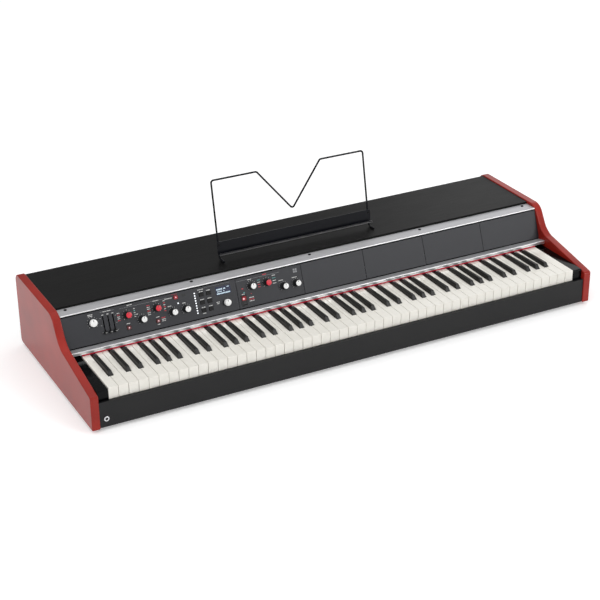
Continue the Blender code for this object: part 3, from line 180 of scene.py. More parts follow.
@dataclass(frozen=True)
class Finish:
    """A surface: its base values and the pattern that its making leaves on it.

    Attributes:
        name: The material's name, in a maker's words.
        colour: Its main sRGB colour.
        shade: The sRGB colour that its pattern mixes in.
        roughness: Its middle roughness.
        metallic: 1 for bare metal.
        specular: How strongly a non-metal mirrors, 0.5 being plain.
        coat: The weight of a clear coat.
        coat_roughness: That coat's roughness.
        grain: The size of the pattern's features, in metres.
        relief: The height of the pattern, in metres.
    """

    name: str
    colour: str
    shade: str
    roughness: float
    metallic: float = 0.0
    specular: float = 0.5
    coat: float = 0.0
    coat_roughness: float = 0.1
    grain: float = 0.6 * MM
    relief: float = 0.02 * MM

    def material(self) -> Material:
        """Makes the material, or finds it if it is made already."""
        found = bpy.data.materials.get(self.name)
        if found:
            return found
        material = bpy.data.materials.new(self.name)
        material.use_nodes = True
        tree = material.node_tree
        shader = tree.nodes["Principled BSDF"]
        shader.inputs["Base Color"].default_value = linear(self.colour)
        shader.inputs["Roughness"].default_value = self.roughness
        shader.inputs["Metallic"].default_value = self.metallic
        shader.inputs["Specular IOR Level"].default_value = self.specular
        shader.inputs["Coat Weight"].default_value = self.coat
        shader.inputs["Coat Roughness"].default_value = self.coat_roughness
        place = add_node(tree, "ShaderNodeTexCoord").outputs["Object"]
        self.pattern(tree, shader, place)
        return material

    def pattern(self, tree: NodeTree, shader: Node, place: NodeSocket) -> None:
        """Adds the surface's own pattern; moulded and painted ones have a fine even grain.

        Args:
            tree: The material's nodes.
            shader: Its Principled shader.
            place: The socket with the place on the object.
        """
        grain = noise(tree, place, self.grain, Detail=3.0)
        self.tint(tree, shader, grain)
        self.emboss(tree, shader, grain)

    def tint(self, tree: NodeTree, shader: Node, amount: NodeSocket) -> None:
        """Mixes the shade into the colour; the main colour shows where the amount is high."""
        mix = add_node(
            tree,
            "ShaderNodeMix",
            {"data_type": "RGBA", MIX_DARK: linear(self.shade), MIX_LIGHT: linear(self.colour)},
            {MIX_FACTOR: remap(tree, amount, TINT_LEVELS, (0.0, 1.0))},
        )
        tree.links.new(mix.outputs[MIX_RESULT], shader.inputs["Base Color"])

    def emboss(self, tree: NodeTree, shader: Node, height: NodeSocket) -> None:
        """Raises the pattern as a bump of the surface's own relief."""
        bump = add_node(tree, "ShaderNodeBump", {"Distance": self.relief}, {"Height": height})
        tree.links.new(bump.outputs["Normal"], shader.inputs["Normal"])

    def roughen(
        self, tree: NodeTree, shader: Node, amount: NodeSocket, low: float, high: float
    ) -> None:
        """Lets the roughness follow the pattern, shifted by so much where that is low and high."""
        ends = (self.roughness + low, self.roughness + high)
        tree.links.new(remap(tree, amount, ROUGH_LEVELS, ends), shader.inputs["Roughness"])


@dataclass(frozen=True)
class Lacquer(Finish):
    """Sprayed lacquer on wood: an even colour, faintly clouded, with a soft orange peel in its gloss."""

    cloud: float = 90 * MM

    def pattern(self, tree: NodeTree, shader: Node, place: NodeSocket) -> None:
        """Adds clouds in the colour and an orange peel in the gloss."""
        self.tint(tree, shader, noise(tree, place, self.cloud, Detail=2.0))
        self.emboss(tree, shader, noise(tree, place, self.grain, Detail=1.0))


@dataclass(frozen=True)
class OpenGrain(Finish):
    """Stained ash under a thin matt lacquer: long open pores along the board, darker and sunk."""

    length: float = 70 * MM
    pore: float = 0.9 * MM
    figure: float = 9 * MM
    figure_length: float = 420 * MM
    figure_share: float = 0.45

    def pattern(self, tree: NodeTree, shader: Node, place: NodeSocket) -> None:
        """Draws pores and broad figure along X, in colour, gloss and height."""
        fine = drawn_out(tree, place, self.length, self.pore)
        broad = drawn_out(tree, place, self.figure_length, self.figure)
        pores = noise(tree, fine, 1.0, Detail=4.0, Roughness=0.6)
        figure = noise(tree, broad, 1.0, Detail=3.0, Distortion=0.8)
        figure_part = calculate(tree, "MULTIPLY", figure, self.figure_share)
        both = calculate(tree, "MULTIPLY_ADD", pores, 1.0 - self.figure_share, figure_part)
        self.tint(tree, shader, both)
        self.roughen(tree, shader, pores, 0.1, -0.05)
        self.emboss(tree, shader, pores)


@dataclass(frozen=True)
class Brushed(Finish):
    """Metal drawn along an abrasive belt: long hair lines along X that smear its reflections."""

    length: float = 60 * MM

    def pattern(self, tree: NodeTree, shader: Node, place: NodeSocket) -> None:
        """Draws hair lines along X in roughness, colour and height."""
        hair = noise(tree, drawn_out(tree, place, self.length, self.grain), 1.0, Detail=3.0)
        self.tint(tree, shader, hair)
        self.roughen(tree, shader, hair, -0.08, 0.1)
        self.emboss(tree, shader, hair)


@dataclass(frozen=True)
class Felt(Finish):
    """Pressed wool: matted fibres that catch light at their tips."""

    sheen: float = 0.4
    sheen_roughness: float = 0.5

    def pattern(self, tree: NodeTree, shader: Node, place: NodeSocket) -> None:
        """Adds fibres of wool thickness and a constant sheen."""
        shader.inputs["Sheen Weight"].default_value = self.sheen
        shader.inputs["Sheen Roughness"].default_value = self.sheen_roughness
        fibre = noise(tree, place, self.grain, Detail=6.0, Roughness=0.7, Distortion=1.5)
        self.tint(tree, shader, fibre)
        self.emboss(tree, shader, fibre)


@dataclass(frozen=True)
class Lamp(Finish):
    """A lit lens: clear or tinted plastic with light behind it, slightly uneven."""

    glow: str = "#FFFFFF"
    strength: float = 1.0
    dimmest: float = 0.8

    def pattern(self, tree: NodeTree, shader: Node, place: NodeSocket) -> None:
        """Adds the light behind the lens."""
        uneven = noise(tree, place, self.grain, Detail=1.0)
        self.tint(tree, shader, uneven)
        level = remap(tree, uneven, (0.0, 1.0), (self.dimmest * self.strength, self.strength))
        shader.inputs["Emission Color"].default_value = linear(self.glow)
        tree.links.new(level, shader.inputs["Emission Strength"])


@dataclass(frozen=True)
class SolderMask(Finish):
    """A circuit board's green varnish, lighter where copper tracks run under it."""

    track: float = 6 * MM
    track_share: float = 0.06
    track_blur: float = 0.1

    def pattern(self, tree: NodeTree, shader: Node, place: NodeSocket) -> None:
        """Draws a net of tracks under the varnish."""
        varnish, copper = linear(self.shade), linear(self.colour)
        settings = {"Scale": per_metre(self.track), "Mortar Size": self.track_share}
        settings |= {"Mortar Smooth": self.track_blur}
        settings |= {"Color1": varnish, "Color2": varnish, "Mortar": copper}
        tracks = add_node(tree, "ShaderNodeTexBrick", settings, {"Vector": place})
        tree.links.new(tracks.outputs["Color"], shader.inputs["Base Color"])
        self.emboss(tree, shader, tracks.outputs["Fac"])


# Satin nitrocellulose-like lacquer over solid wood: a deep red whose gloss washes out at a glance
RED_LACQUER = Lacquer(
    "satin_red_lacquer_on_beech", "#A0261B", "#8C1F16", 0.36, specular=0.12, coat=0.32,
    coat_roughness=0.09, grain=2.5 * MM, relief=0.03 * MM,
)
# Black stained ash veneer: nearly black, with lighter ridges between its pores
BLACK_ASH = OpenGrain(
    "black_stained_ash_veneer", "#151515", "#0A0A0A", 0.36, specular=0.085, relief=0.06 * MM
)
# Sprayed black lacquer on the front rail: satin, with a faint peel
BLACK_RAIL = Lacquer(
    "satin_black_lacquer_on_birch", "#0F0F10", "#0A0A0C", 0.42, specular=0.3, grain=2.0 * MM,
    relief=0.02 * MM,
)
# The key blocks are lacquered glossier than the rail, so they mirror the cheek and the sky
BLACK_BLOCK = Lacquer(
    "gloss_black_lacquer_on_beech", "#07080A", "#040506", 0.16, specular=0.11, grain=3.0 * MM,
    relief=0.01 * MM,
)
# Fine-texture powder coat baked on sheet aluminium: flat dark grey with a sandy touch
PANEL_COAT = Finish(
    "fine_texture_powder_coat", "#2B2C31", "#26272B", 0.44, specular=0.36, grain=0.7 * MM, relief=0.02 * MM
)
# Extruded aluminium, belt brushed along its length and clear anodised: satin, half mirror, half haze
TRIM_METAL = Brushed(
    "brushed_anodised_aluminium", "#CDCDCF", "#B4B4B7", 0.48, metallic=0.6, grain=0.8 * MM,
    relief=0.004 * MM,
)
# A lighter, more metallic copy of the same aluminium on the rails' front edges: a painted highlight
HIGHLIGHT_METAL = Brushed(
    "diamond_cut_aluminium", "#EAEAEC", "#E2E2E4", 0.36, metallic=0.9, grain=2.0 * MM,
    relief=0.0,
)
# Dead black on the rails' ribs, where the joint to the panels lies in shadow: painted shade
PAINTED_SHADE_BLACK = Finish("black_foam_tape", "#0C0C0D", "#080808", 0.95, specular=0.1, grain=0.8 * MM)
# Injection-moulded acrylic key tops, polished: warm white and slightly translucent at the edges
KEY_WHITE = Finish(
    "polished_white_acrylic", "#EFECE4", "#EAE7DE", 0.3, coat=0.2, coat_roughness=0.1, grain=14 * MM,
    relief=0.01 * MM,
)
# Black ABS with a fine matt spark-eroded skin, a shade lighter where light grazes it
KEY_BLACK = Finish(
    "spark_eroded_black_abs", "#131210", "#0E0D0C", 0.36, specular=0.35, grain=0.8 * MM, relief=0.02 * MM
)
# Pressed wool cloth, dyed red
RED_FELT = Felt(
    "pressed_red_wool_felt", "#F02048", "#C81838", 0.95, specular=0.2, grain=0.5 * MM, relief=0.2 * MM
)
# Powder coated steel wire and sheet: satin black, with a slight peel
STAND_COAT = Lacquer(
    "satin_black_powder_coat", "#0E1016", "#0A0B10", 0.34, specular=0.14, grain=1.5 * MM, relief=0.02 * MM
)
# A lighter, glossier copy of the same coat on the tray's lip and fold: a painted highlight
LIP_HIGHLIGHT_COAT = Lacquer(
    "rubbed_black_powder_coat", "#27272A", "#1F1F22", 0.3, specular=1.0, grain=2.0 * MM, relief=0.01 * MM
)
# Matt moulded ABS of the knob bodies
KNOB_BLACK = Finish("matt_black_abs", "#17181A", "#121314", 0.5, grain=0.5 * MM, relief=0.02 * MM)
# Satin moulded caps, white and red
CAP_WHITE = Finish("satin_white_abs", "#F6F6F5", "#EFEFEE", 0.35, grain=0.6 * MM, relief=0.015 * MM)
CAP_RED = Finish("satin_red_abs", "#DC2A3E", "#CE2236", 0.35, grain=0.6 * MM, relief=0.015 * MM)
# Screen printing ink: opaque, a little uneven where the mesh held it back
INK_WHITE = Finish("white_screen_ink", "#D8D8D6", "#B9B9B8", 0.6, grain=0.4 * MM, relief=0.01 * MM)
INK_GREY = Finish("grey_screen_ink", "#9A9B9E", "#7E7F82", 0.6, grain=0.4 * MM, relief=0.01 * MM)
INK_RED = Finish("red_screen_ink", "#D33A46", "#B02C38", 0.6, grain=0.4 * MM, relief=0.01 * MM)
INK_TEAL = Finish("teal_screen_ink", "#5FA9A6", "#4A8784", 0.6, grain=0.4 * MM, relief=0.01 * MM)
INK_BLACK = Finish("black_screen_ink", "#0B0D0D", "#080909", 0.5, grain=0.4 * MM, relief=0.01 * MM)
# Tinted polycarbonate of the buttons, with light behind it
LENS_RED = Lamp(
    "tinted_red_polycarbonate", "#4A1013", "#380B0E", 0.3, glow="#901820", strength=0.08, grain=3 * MM
)
LENS_BRIGHT = Lamp(
    "lit_red_polycarbonate", "#8A141E", "#78101A", 0.3, glow="#B01824", strength=0.15, grain=3 * MM
)
LAMP_SPOT = Lamp("lit_clear_lens", "#E4B4B8", "#DCA8AE", 0.3, glow="#FFC8CE", strength=0.55, grain=1 * MM)
LAMP_WHITE = Lamp("lit_white_lens", "#F4F6F8", "#E8ECF0", 0.2, glow="#F4F8FF", strength=0.8, grain=1 * MM)
# The display: dark blue liquid crystal behind a clear window, and its lit segments
DISPLAY_DARK = Lamp(
    "blue_liquid_crystal_window", "#1C2238", "#161B2D", 0.2, glow="#2A3458", strength=0.25, grain=8 * MM
)
DISPLAY_LIT = Lamp(
    "lit_display_segments", "#B4C8D4", "#A6BCCA", 0.4, glow="#C8DCE8", strength=0.5, grain=2 * MM
)
# Bright nickel-chrome plate, and the nickel of nuts and contacts
CHROME = Brushed(
    "bright_chrome_plate", "#DADADC", "#CECED1", 0.12, metallic=1.0, grain=2 * MM, relief=0.001 * MM
)
NICKEL = Brushed(
    "nickel_plated_brass", "#B9B5AC", "#A39F97", 0.28, metallic=1.0, grain=0.6 * MM, relief=0.004 * MM
)
# Black oxide steel of the screws: an oiled black skin with hardly a gleam
BLACK_OXIDE = Finish(
    "black_oxide_steel", "#0B0B0C", "#060607", 0.55, specular=0.2, grain=0.4 * MM, relief=0.01 * MM
)
# Moulded black PBT of sockets, and the bare moulded keypad
SOCKET_BLACK = Finish("black_moulded_pbt", "#141416", "#0F0F11", 0.45, grain=0.5 * MM, relief=0.02 * MM)
KEYPAD_BLACK = Finish(
    "silicone_coated_black_keys", "#0A0A0B", "#070708", 0.5, specular=0.25, grain=0.4 * MM,
    relief=0.01 * MM,
)
# Moulded rubber: matt, slightly dusty
RUBBER = Finish("moulded_black_rubber", "#202020", "#161616", 0.85, grain=1.2 * MM, relief=0.05 * MM)
# Mill-finish extruded aluminium of the key frame
MILL_METAL = Brushed(
    "mill_finish_aluminium", "#C9CACC", "#AEB0B3", 0.42, metallic=1.0, grain=1.0 * MM, relief=0.01 * MM
)
BOARD_GREEN = SolderMask("green_solder_mask", "#2E7A52", "#1B5A3B", 0.35, relief=0.03 * MM)


# Small tools for modelling by hand: pick by place, then run Blender's own operators

# How close two places are when they count as one, and when vertices are merged
NEAR = 0.1 * MM
MERGED = 0.01 * MM
# How far a cutter reaches out of a thin frame on either side
CUT_BELOW, CUT_ABOVE = -MM, 2 * MM
# Edge radii, from a crisp printed or plated edge to a soft moulded one
CRISP_EDGE = 0.15 * MM
PLATED_EDGE = 0.2 * MM
TURNED_EDGE = 0.25 * MM
CUT_EDGE = 0.3 * MM
MOULDED_EDGE = 0.35 * MM
SOFT_EDGE = 0.4 * MM
ROUND_EDGE = 0.45 * MM


class Part(Enum):
    """The elements of a mesh that can be picked."""

    VERTS = ("verts", "VERT")
    EDGES = ("edges", "EDGE")
    FACES = ("faces", "FACE")


def activate(obj: Object) -> None:
    """Makes this the only selected object, and the active one."""
    bpy.ops.object.select_all(action="DESELECT")
    obj.select_set(True)
    bpy.context.view_layer.objects.active = obj


def settle(obj: Object, place: Matrix | None = None) -> Object:
    """Moves an object to a place, if there is one, and applies that, so that it sits at the origin."""
    activate(obj)
    if place is not None:
        obj.matrix_world = place @ obj.matrix_world
    bpy.ops.object.transform_apply(location=True, rotation=True, scale=True)
    return obj


def block(name: str, low: Sequence[float], high: Sequence[float]) -> Object:
    """Adds a cube between its lowest and its highest corner."""
    low, high = Vector(low), Vector(high)
    bpy.ops.object.select_all(action="DESELECT")
    bpy.ops.mesh.primitive_cube_add(size=1.0, location=(low + high) / 2, scale=high - low)
    bpy.context.object.name = name
    return settle(bpy.context.object)


def slab(name: str, half_x: float, half_y: float, low: float, high: float) -> Object:
    """Adds a cube about Z from one height to another, by half its width and half its length."""
    return block(name, (-half_x, -half_y, low), (half_x, half_y, high))


def round_bar(name: str, radius: float, low: float, high: float, sides: int = 48) -> Object:
    """Adds a cylinder about Z from one height to another."""
    bpy.ops.object.select_all(action="DESELECT")
    bpy.ops.mesh.primitive_cylinder_add(
        vertices=sides, radius=radius, depth=high - low, location=(0.0, 0.0, (low + high) / 2)
    )
    bpy.context.object.name = name
    return settle(bpy.context.object)


@contextmanager
def shaping(obj: Object) -> Iterator[None]:
    """Holds an object in edit mode, with nothing picked to begin with."""
    activate(obj)
    bpy.ops.object.mode_set(mode="EDIT")
    bpy.ops.mesh.select_all(action="DESELECT")
    yield
    bpy.ops.object.mode_set(mode="OBJECT")


def pick(part: Part, test: Callable[[object], bool]) -> int:
    """Picks the elements of the mesh in edit mode that pass a test, and no others.

    Args:
        part: Whether vertices, edges or faces are picked.
        test: Says whether an element is picked.

    Returns:
        How many were picked.
    """
    kind, mode = part.value
    bpy.ops.mesh.select_all(action="DESELECT")
    bpy.ops.mesh.select_mode(type=mode)
    shape = bmesh.from_edit_mesh(bpy.context.object.data)
    chosen = [item for item in getattr(shape, kind) if test(item)]
    for item in chosen:
        item.select_set(True)
    shape.select_flush_mode()
    bmesh.update_edit_mesh(bpy.context.object.data)
    return len(chosen)


def pick_all() -> None:
    """Picks the whole mesh in edit mode."""
    bpy.ops.mesh.select_all(action="SELECT")


def merge_all() -> None:
    """Merges the vertices that lie in one place, and leaves the whole mesh picked."""
    pick_all()
    bpy.ops.mesh.remove_doubles(threshold=MERGED)


def face_outward() -> None:
    """Turns every face of a closed mesh outward."""
    pick_all()
    bpy.ops.mesh.normals_make_consistent(inside=False)


def looks(face: object, direction: Vector, least: float = 0.9) -> bool:
    """Whether a face looks a certain way."""
    return face.normal.dot(direction) > least


def faces_to(direction: Vector, least: float = 0.9) -> Callable[[object], bool]:
    """A test for faces that look a certain way."""
    return lambda face: looks(face, direction, least)


def edge_along(axis: int, edge: object) -> bool:
    """Whether an edge runs along one axis, 0 being X."""
    run = (edge.verts[1].co - edge.verts[0].co).normalized()
    return abs(run[axis]) > 0.999


def upper_front_edge(low: Vector, high: Vector) -> Callable[[object], bool]:
    """A test for the edge along X where a box's front meets its top."""
    return lambda edge: edge_along(0, edge) and all(
        vert.co.z > high.z - MM and vert.co.y < low.y + MM for vert in edge.verts
    )


def extrude(run: Sequence[float]) -> None:
    """Extrudes what is picked by this much."""
    bpy.ops.mesh.extrude_region_move(TRANSFORM_OT_translate={"value": tuple(run)})


def inset(thickness: float, depth: float = 0.0, single: bool = False) -> None:
    """Insets the picked faces, together or each by itself."""
    bpy.ops.mesh.inset(thickness=thickness, depth=depth, use_individual=single)


def shift(run: Sequence[float]) -> None:
    """Moves what is picked."""
    bpy.ops.transform.translate(value=tuple(run))


def resize(factors: Sequence[float], centre: Sequence[float]) -> None:
    """Scales what is picked about a centre."""
    bpy.ops.transform.resize(value=tuple(factors), center_override=tuple(centre))


def slice_at(point: Sequence[float], normal: Sequence[float]) -> None:
    """Cuts new edges through the whole mesh along a plane."""
    pick_all()
    bpy.ops.mesh.bisect(plane_co=tuple(point), plane_no=tuple(normal), use_fill=False)


def flatten_lines() -> None:
    """Removes the edges that lie between faces of one plane."""
    pick_all()
    bpy.ops.mesh.dissolve_limited(angle_limit=math.radians(0.5))


def round_picked(radius: float, segments: int = 3) -> None:
    """Bevels the picked edges by this offset."""
    bpy.ops.mesh.bevel(offset=radius, segments=segments, affect="EDGES", clamp_overlap=False)


def apply_modifier(obj: Object, kind: str, **settings: object) -> Object:
    """Adds a modifier of this kind with its settings, and applies it."""
    modifier = obj.modifiers.new(kind.lower(), kind)
    for name, value in settings.items():
        setattr(modifier, name, value)
    activate(obj)
    bpy.ops.object.modifier_apply(modifier=modifier.name)
    return obj


def smooth(obj: Object, angle: float = 40.0) -> Object:
    """Shades curved faces smooth and keeps the flat ones flat."""
    activate(obj)
    bpy.ops.object.shade_smooth_by_angle(angle=math.radians(angle))
    return apply_modifier(obj, "WEIGHTED_NORMAL", keep_sharp=True, weight=80)


def soften(obj: Object, width: float, segments: int = 2, angle: float = 40.0) -> Object:
    """Rounds every edge sharper than the angle, in degrees, and shades the result."""
    apply_modifier(
        obj, "BEVEL", width=width, segments=segments, limit_method="ANGLE",
        angle_limit=math.radians(angle), harden_normals=False,
    )
    return smooth(obj, angle=60.0)


def copy_to(template: Object, name: str, place: Matrix) -> Object:
    """Makes a copy whose own mesh holds the place that it is moved to."""
    twin = template.copy()
    twin.data = template.data.copy()
    twin.name = name
    bpy.context.scene.collection.objects.link(twin)
    twin.data.transform(place)
    return twin


def unite(name: str, objects: Sequence[Object]) -> Object:
    """Joins objects into one of this name."""
    bpy.ops.object.select_all(action="DESELECT")
    for obj in objects:
        obj.select_set(True)
    bpy.context.view_layer.objects.active = objects[0]
    if len(objects) > 1:
        bpy.ops.object.join()
    objects[0].name = name
    return objects[0]


def stamp(template: Object, name: str, places: Sequence[Matrix]) -> Object:
    """One object that holds a copy of the template at each place; the template is removed."""
    made = unite(name, [copy_to(template, name, place) for place in places])
    bpy.data.objects.remove(template)
    return made


def carve(obj: Object, cutter: Object) -> Object:
    """Cuts one object out of another and removes the cutter."""
    apply_modifier(obj, "BOOLEAN", object=cutter, operation="DIFFERENCE", solver="EXACT")
    bpy.data.objects.remove(cutter)
    return obj


def frame_around(name: str, half_x: float, half_y: float, rim: float, height: float) -> Object:
    """A flat rectangular frame of this height on z = 0, its rim around an opening."""
    frame = slab(name, half_x + rim, half_y + rim, 0.0, height)
    return carve(frame, slab("opening", half_x, half_y, CUT_BELOW, CUT_ABOVE))


def paint_faces(obj: Object, slot: int, test: Callable[[object], bool]) -> None:
    """Gives the faces that pass a test another of the object's finishes."""
    for face in obj.data.polygons:
        if test(face):
            face.material_index = slot


def bent_line(name: str, corners: Sequence[tuple[Vector, float]], segments: int = 8) -> Object:
    """A line of edges that runs from corner to corner, each corner rounded.

    Args:
        name: The object's name.
        corners: Each corner's place and the radius it is bent to; the ends have none.
        segments: How many edges a rounded corner has.

    Returns:
        The line, as a mesh without faces.
    """
    bpy.ops.object.select_all(action="DESELECT")
    bpy.ops.mesh.primitive_plane_add(size=1.0 * MM, location=corners[0][0])
    obj = settle(bpy.context.object)
    obj.name = name
    with shaping(obj):
        pick(Part.VERTS, lambda vert: True)
        bpy.ops.mesh.merge(type="CENTER")
        for (here, _), (there, _) in zip(corners, corners[1:]):
            extrude(there - here)
        for (before, _), (corner, radius), (after, _) in zip(corners, corners[1:], corners[2:]):
            if not radius:
                continue
            half = (before - corner).angle(after - corner) / 2
            pick(Part.VERTS, lambda vert: (vert.co - corner).length < MERGED)
            bpy.ops.mesh.bevel(affect="VERTICES", offset=radius / math.tan(half), segments=segments)
    return obj


def tube(line: Object, radius: float) -> Object:
    """Turns a line of edges into the mesh of a round closed tube."""
    activate(line)
    bpy.ops.object.convert(target="CURVE")
    curve = bpy.context.object
    curve.data.bevel_depth = radius
    curve.data.bevel_resolution = 4
    curve.data.use_fill_caps = True
    bpy.ops.object.convert(target="MESH")
    obj = bpy.context.object
    with shaping(obj):
        merge_all()
        face_outward()
    return smooth(obj)


def bar_along_x(
    name: str, section: Sequence[tuple[float, float, float]], low_x: float, high_x: float
) -> Object:
    """Extrudes a section along X.

    Args:
        name: The object's name.
        section: The corners, each (y, z, radius); the first one stays sharp.
        low_x: Where the bar starts.
        high_x: Where it ends.

    Returns:
        The bar.
    """
    corners = [(Vector((low_x, y, z)), radius) for y, z, radius in section]
    obj = bent_line(name, [*corners, (corners[0][0], 0.0)])
    with shaping(obj):
        merge_all()
        bpy.ops.mesh.edge_face_add()
        extrude((high_x - low_x, 0.0, 0.0))
        face_outward()
    return obj


def give_slots(obj: Object, *finishes: Finish) -> Object:
    """Gives an object its finishes as slots, so that joined faces keep their numbers.

    Args:
        obj: The object.
        *finishes: Its finishes, in the order of its material slots.

    Returns:
        The same object.
    """
    numbers = [face.material_index for face in obj.data.polygons]
    obj.data.materials.clear()
    for finish in finishes:
        obj.data.materials.append(finish.material())
    obj.data.polygons.foreach_set("material_index", numbers)
    return obj


def hand_over(
    obj: Object,
    body: str,
    *finishes: Finish,
    stands_for: Sequence[str] = (),
    slot: str = "",
) -> Object:
    """Gives a finished piece its materials and its body, and hides the nodes that it stands for.

    Args:
        obj: The piece, with its place in its mesh.
        body: The body that it moves with.
        *finishes: Its finishes, in the order of its material slots.
        stands_for: The frame's nodes that it replaces.
        slot: Not used.

    Returns:
        The same piece.
    """
    give_slots(obj, *finishes)
    obj.data.name = obj.name
    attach(obj, body)
    if stands_for:
        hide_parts(*stands_for)
    LOG.info("%s on %s: %d faces", obj.name, body, len(obj.data.polygons))
    return obj


# Places that the sub-assemblies share


@dataclass
class SideView:
    """Places in the side view: back from the front edge of the white keys, up from the cheeks' foot.

    Attributes:
        nodes: The frame's nodes by name.
        setback: How far the cheeks stand forward of the keys.
    """

    nodes: dict[str, Object]
    setback: float = 11.9 * MM

    def __post_init__(self) -> None:
        """Reads where the side view starts."""
        low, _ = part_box("left_cheek")
        self.front = low.y + self.setback
        self.base = low.z

    def point(self, x: float, back: float, up: float) -> Vector:
        """A place in the frame."""
        return Vector((x, self.front + back, self.base + up))

    def dress(self, finish: Finish, *names: str) -> None:
        """Gives the frame's own nodes a finish."""
        for name in names:
            self.nodes[name].material_slots[0].material = finish.material()
            LOG.info("%s: dressed in %s", name, finish.name)


@dataclass
class PanelFace:
    """The sloping plane of the six modules.

    Attributes:
        lean: How far it leans back.
        sheet: The modules' thickness.
        joint: The dark joint between the modules' upper edge and the rail, along the plane.
    """

    lean: float = math.radians(21.0)
    sheet: float = 2.0 * MM
    joint: float = 1.1 * MM

    def __post_init__(self) -> None:
        """Reads the plane's foot and its length from a module without controls."""
        self.sine, self.cosine = math.sin(self.lean), math.cos(self.lean)
        self.turn = Matrix.Rotation(math.pi / 2 - self.lean, 4, "X")
        low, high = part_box("blank_panel_1")
        self.foot = Vector((0.0, low.y, low.z + self.sheet * self.sine))
        self.span = (high.z - self.foot.z) / self.cosine

    def place(self, x: float, along: float, rise: float = 0.0) -> Matrix:
        """A frame on the plane: X as the piano's, Y up the panel and Z out of it.

        Args:
            x: The place across the piano.
            along: How far up the panel.
            rise: How far out of it.

        Returns:
            The frame, as a matrix.
        """
        return Matrix.Translation(self.foot) @ self.turn @ Matrix.Translation((x, along, rise))

    def along(self, point: Vector) -> float:
        """How far up the panel a point lies."""
        return (point - self.foot).dot(Vector((0.0, self.sine, self.cosine)))

    def before(self, node: str) -> Matrix:
        """The frame on the plane at a control's middle."""
        low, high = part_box(node)
        middle = (low + high) / 2
        return self.place(middle.x, self.along(middle))

    def down(self, below: float) -> float:
        """How far up the panel a place lies that is this far below the rail."""
        return self.span + self.joint - below

    def corner(self, along: float, depth: float) -> tuple[float, float]:
        """The (y, z) of a place along the panel and behind its face."""
        place = self.place(0.0, along, -depth).translation
        return place.y, place.z


# Sub-assemblies


@dataclass
class Cheeks:
    """The two lacquered end panels: a low nose, a notch beside the keys and a steep brow."""

    side: SideView
    nose_up: float = 81.4 * MM
    nose_radius: float = 5.0 * MM
    notch: tuple[float, float] = (172.9 * MM, 117.8 * MM)
    notch_radius: float = 50.0 * MM
    brow_back: float = 210.3 * MM
    brow_radius: float = 32.0 * MM
    crown_radius: float = 20.0 * MM
    heel_radius: float = 10.0 * MM
    toe_radius: float = 2.0 * MM
    facet: float = 3.0 * MM
    rim: float = 2.2 * MM

    def build(self) -> None:
        """Models both panels."""
        for name in ("left_cheek", "right_cheek"):
            hand_over(self.panel(name), CASE, RED_LACQUER, stands_for=[name], slot="cheek_wood")

    def panel(self, node: str) -> Object:
        """Shapes one panel out of a block as large as the frame's node."""
        low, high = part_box(node)
        crown = high.z
        notch = self.side.point(0.0, *self.notch)
        brow = self.side.point(0.0, self.brow_back, 0.0).y
        nose = self.side.point(0.0, 0.0, self.nose_up).z
        outline = [
            (Vector((low.y, low.z)), self.toe_radius),
            (Vector((high.y, low.z)), self.heel_radius),
            (Vector((high.y, crown)), self.crown_radius),
            (Vector((brow, crown)), self.brow_radius),
            (Vector((notch.y, notch.z)), self.notch_radius),
            (Vector((low.y, nose)), self.nose_radius),
        ]
        obj = block(f"{node}_panel", low, high)
        with shaping(obj):
            for back in (notch.y, brow):
                slice_at((0.0, back, 0.0), BACK)
            for back, drop in ((low.y, nose - crown), (notch.y, notch.z - crown)):
                pick(Part.VERTS, lambda vert: abs(vert.co.y - back) < MM and vert.co.z > crown - MM)
                shift((0.0, 0.0, drop))
            flatten_lines()
            for number, (corner, radius) in enumerate(outline):
                before = outline[number - 1][0] - corner
                after = outline[(number + 1) % len(outline)][0] - corner
                half = before.angle(after) / 2
                pick(Part.EDGES, lambda edge: self.at_corner(edge, corner))
                round_picked(radius / math.tan(half), max(3, round(radius / self.facet)))
            pick(Part.EDGES, self.on_rim)
            round_picked(self.rim, 4)
        return smooth(obj, angle=50.0)

    @staticmethod
    def at_corner(edge: object, corner: Vector) -> bool:
        """Whether an edge runs across the panel at a corner of its outline."""
        middle = (edge.verts[0].co + edge.verts[1].co) / 2
        return edge_along(0, edge) and (Vector((middle.y, middle.z)) - corner).length < NEAR

    @staticmethod
    def on_rim(edge: object) -> bool:
        """Whether an edge lies between a flat side and the rim."""
        sides = [abs(face.normal.x) > 0.99 for face in edge.link_faces]
        return len(sides) == 2 and sides[0] != sides[1]


@dataclass
class KeyBlocks:
    """The lacquered blocks between the outermost keys and the cheeks."""

    nose_radius: float = 3.5 * MM
    rim: float = 1.5 * MM

    def build(self) -> None:
        """Models both blocks, each with a rounded nose."""
        for node in ("left_key_block", "right_key_block"):
            low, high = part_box(node)
            obj = block(f"{node}_body", low, high)
            with shaping(obj):
                pick(Part.EDGES, upper_front_edge(low, high))
                round_picked(self.nose_radius, 5)
            soften(obj, self.rim, 3)
            hand_over(obj, CASE, BLACK_BLOCK, stands_for=[node], slot="board_wood")


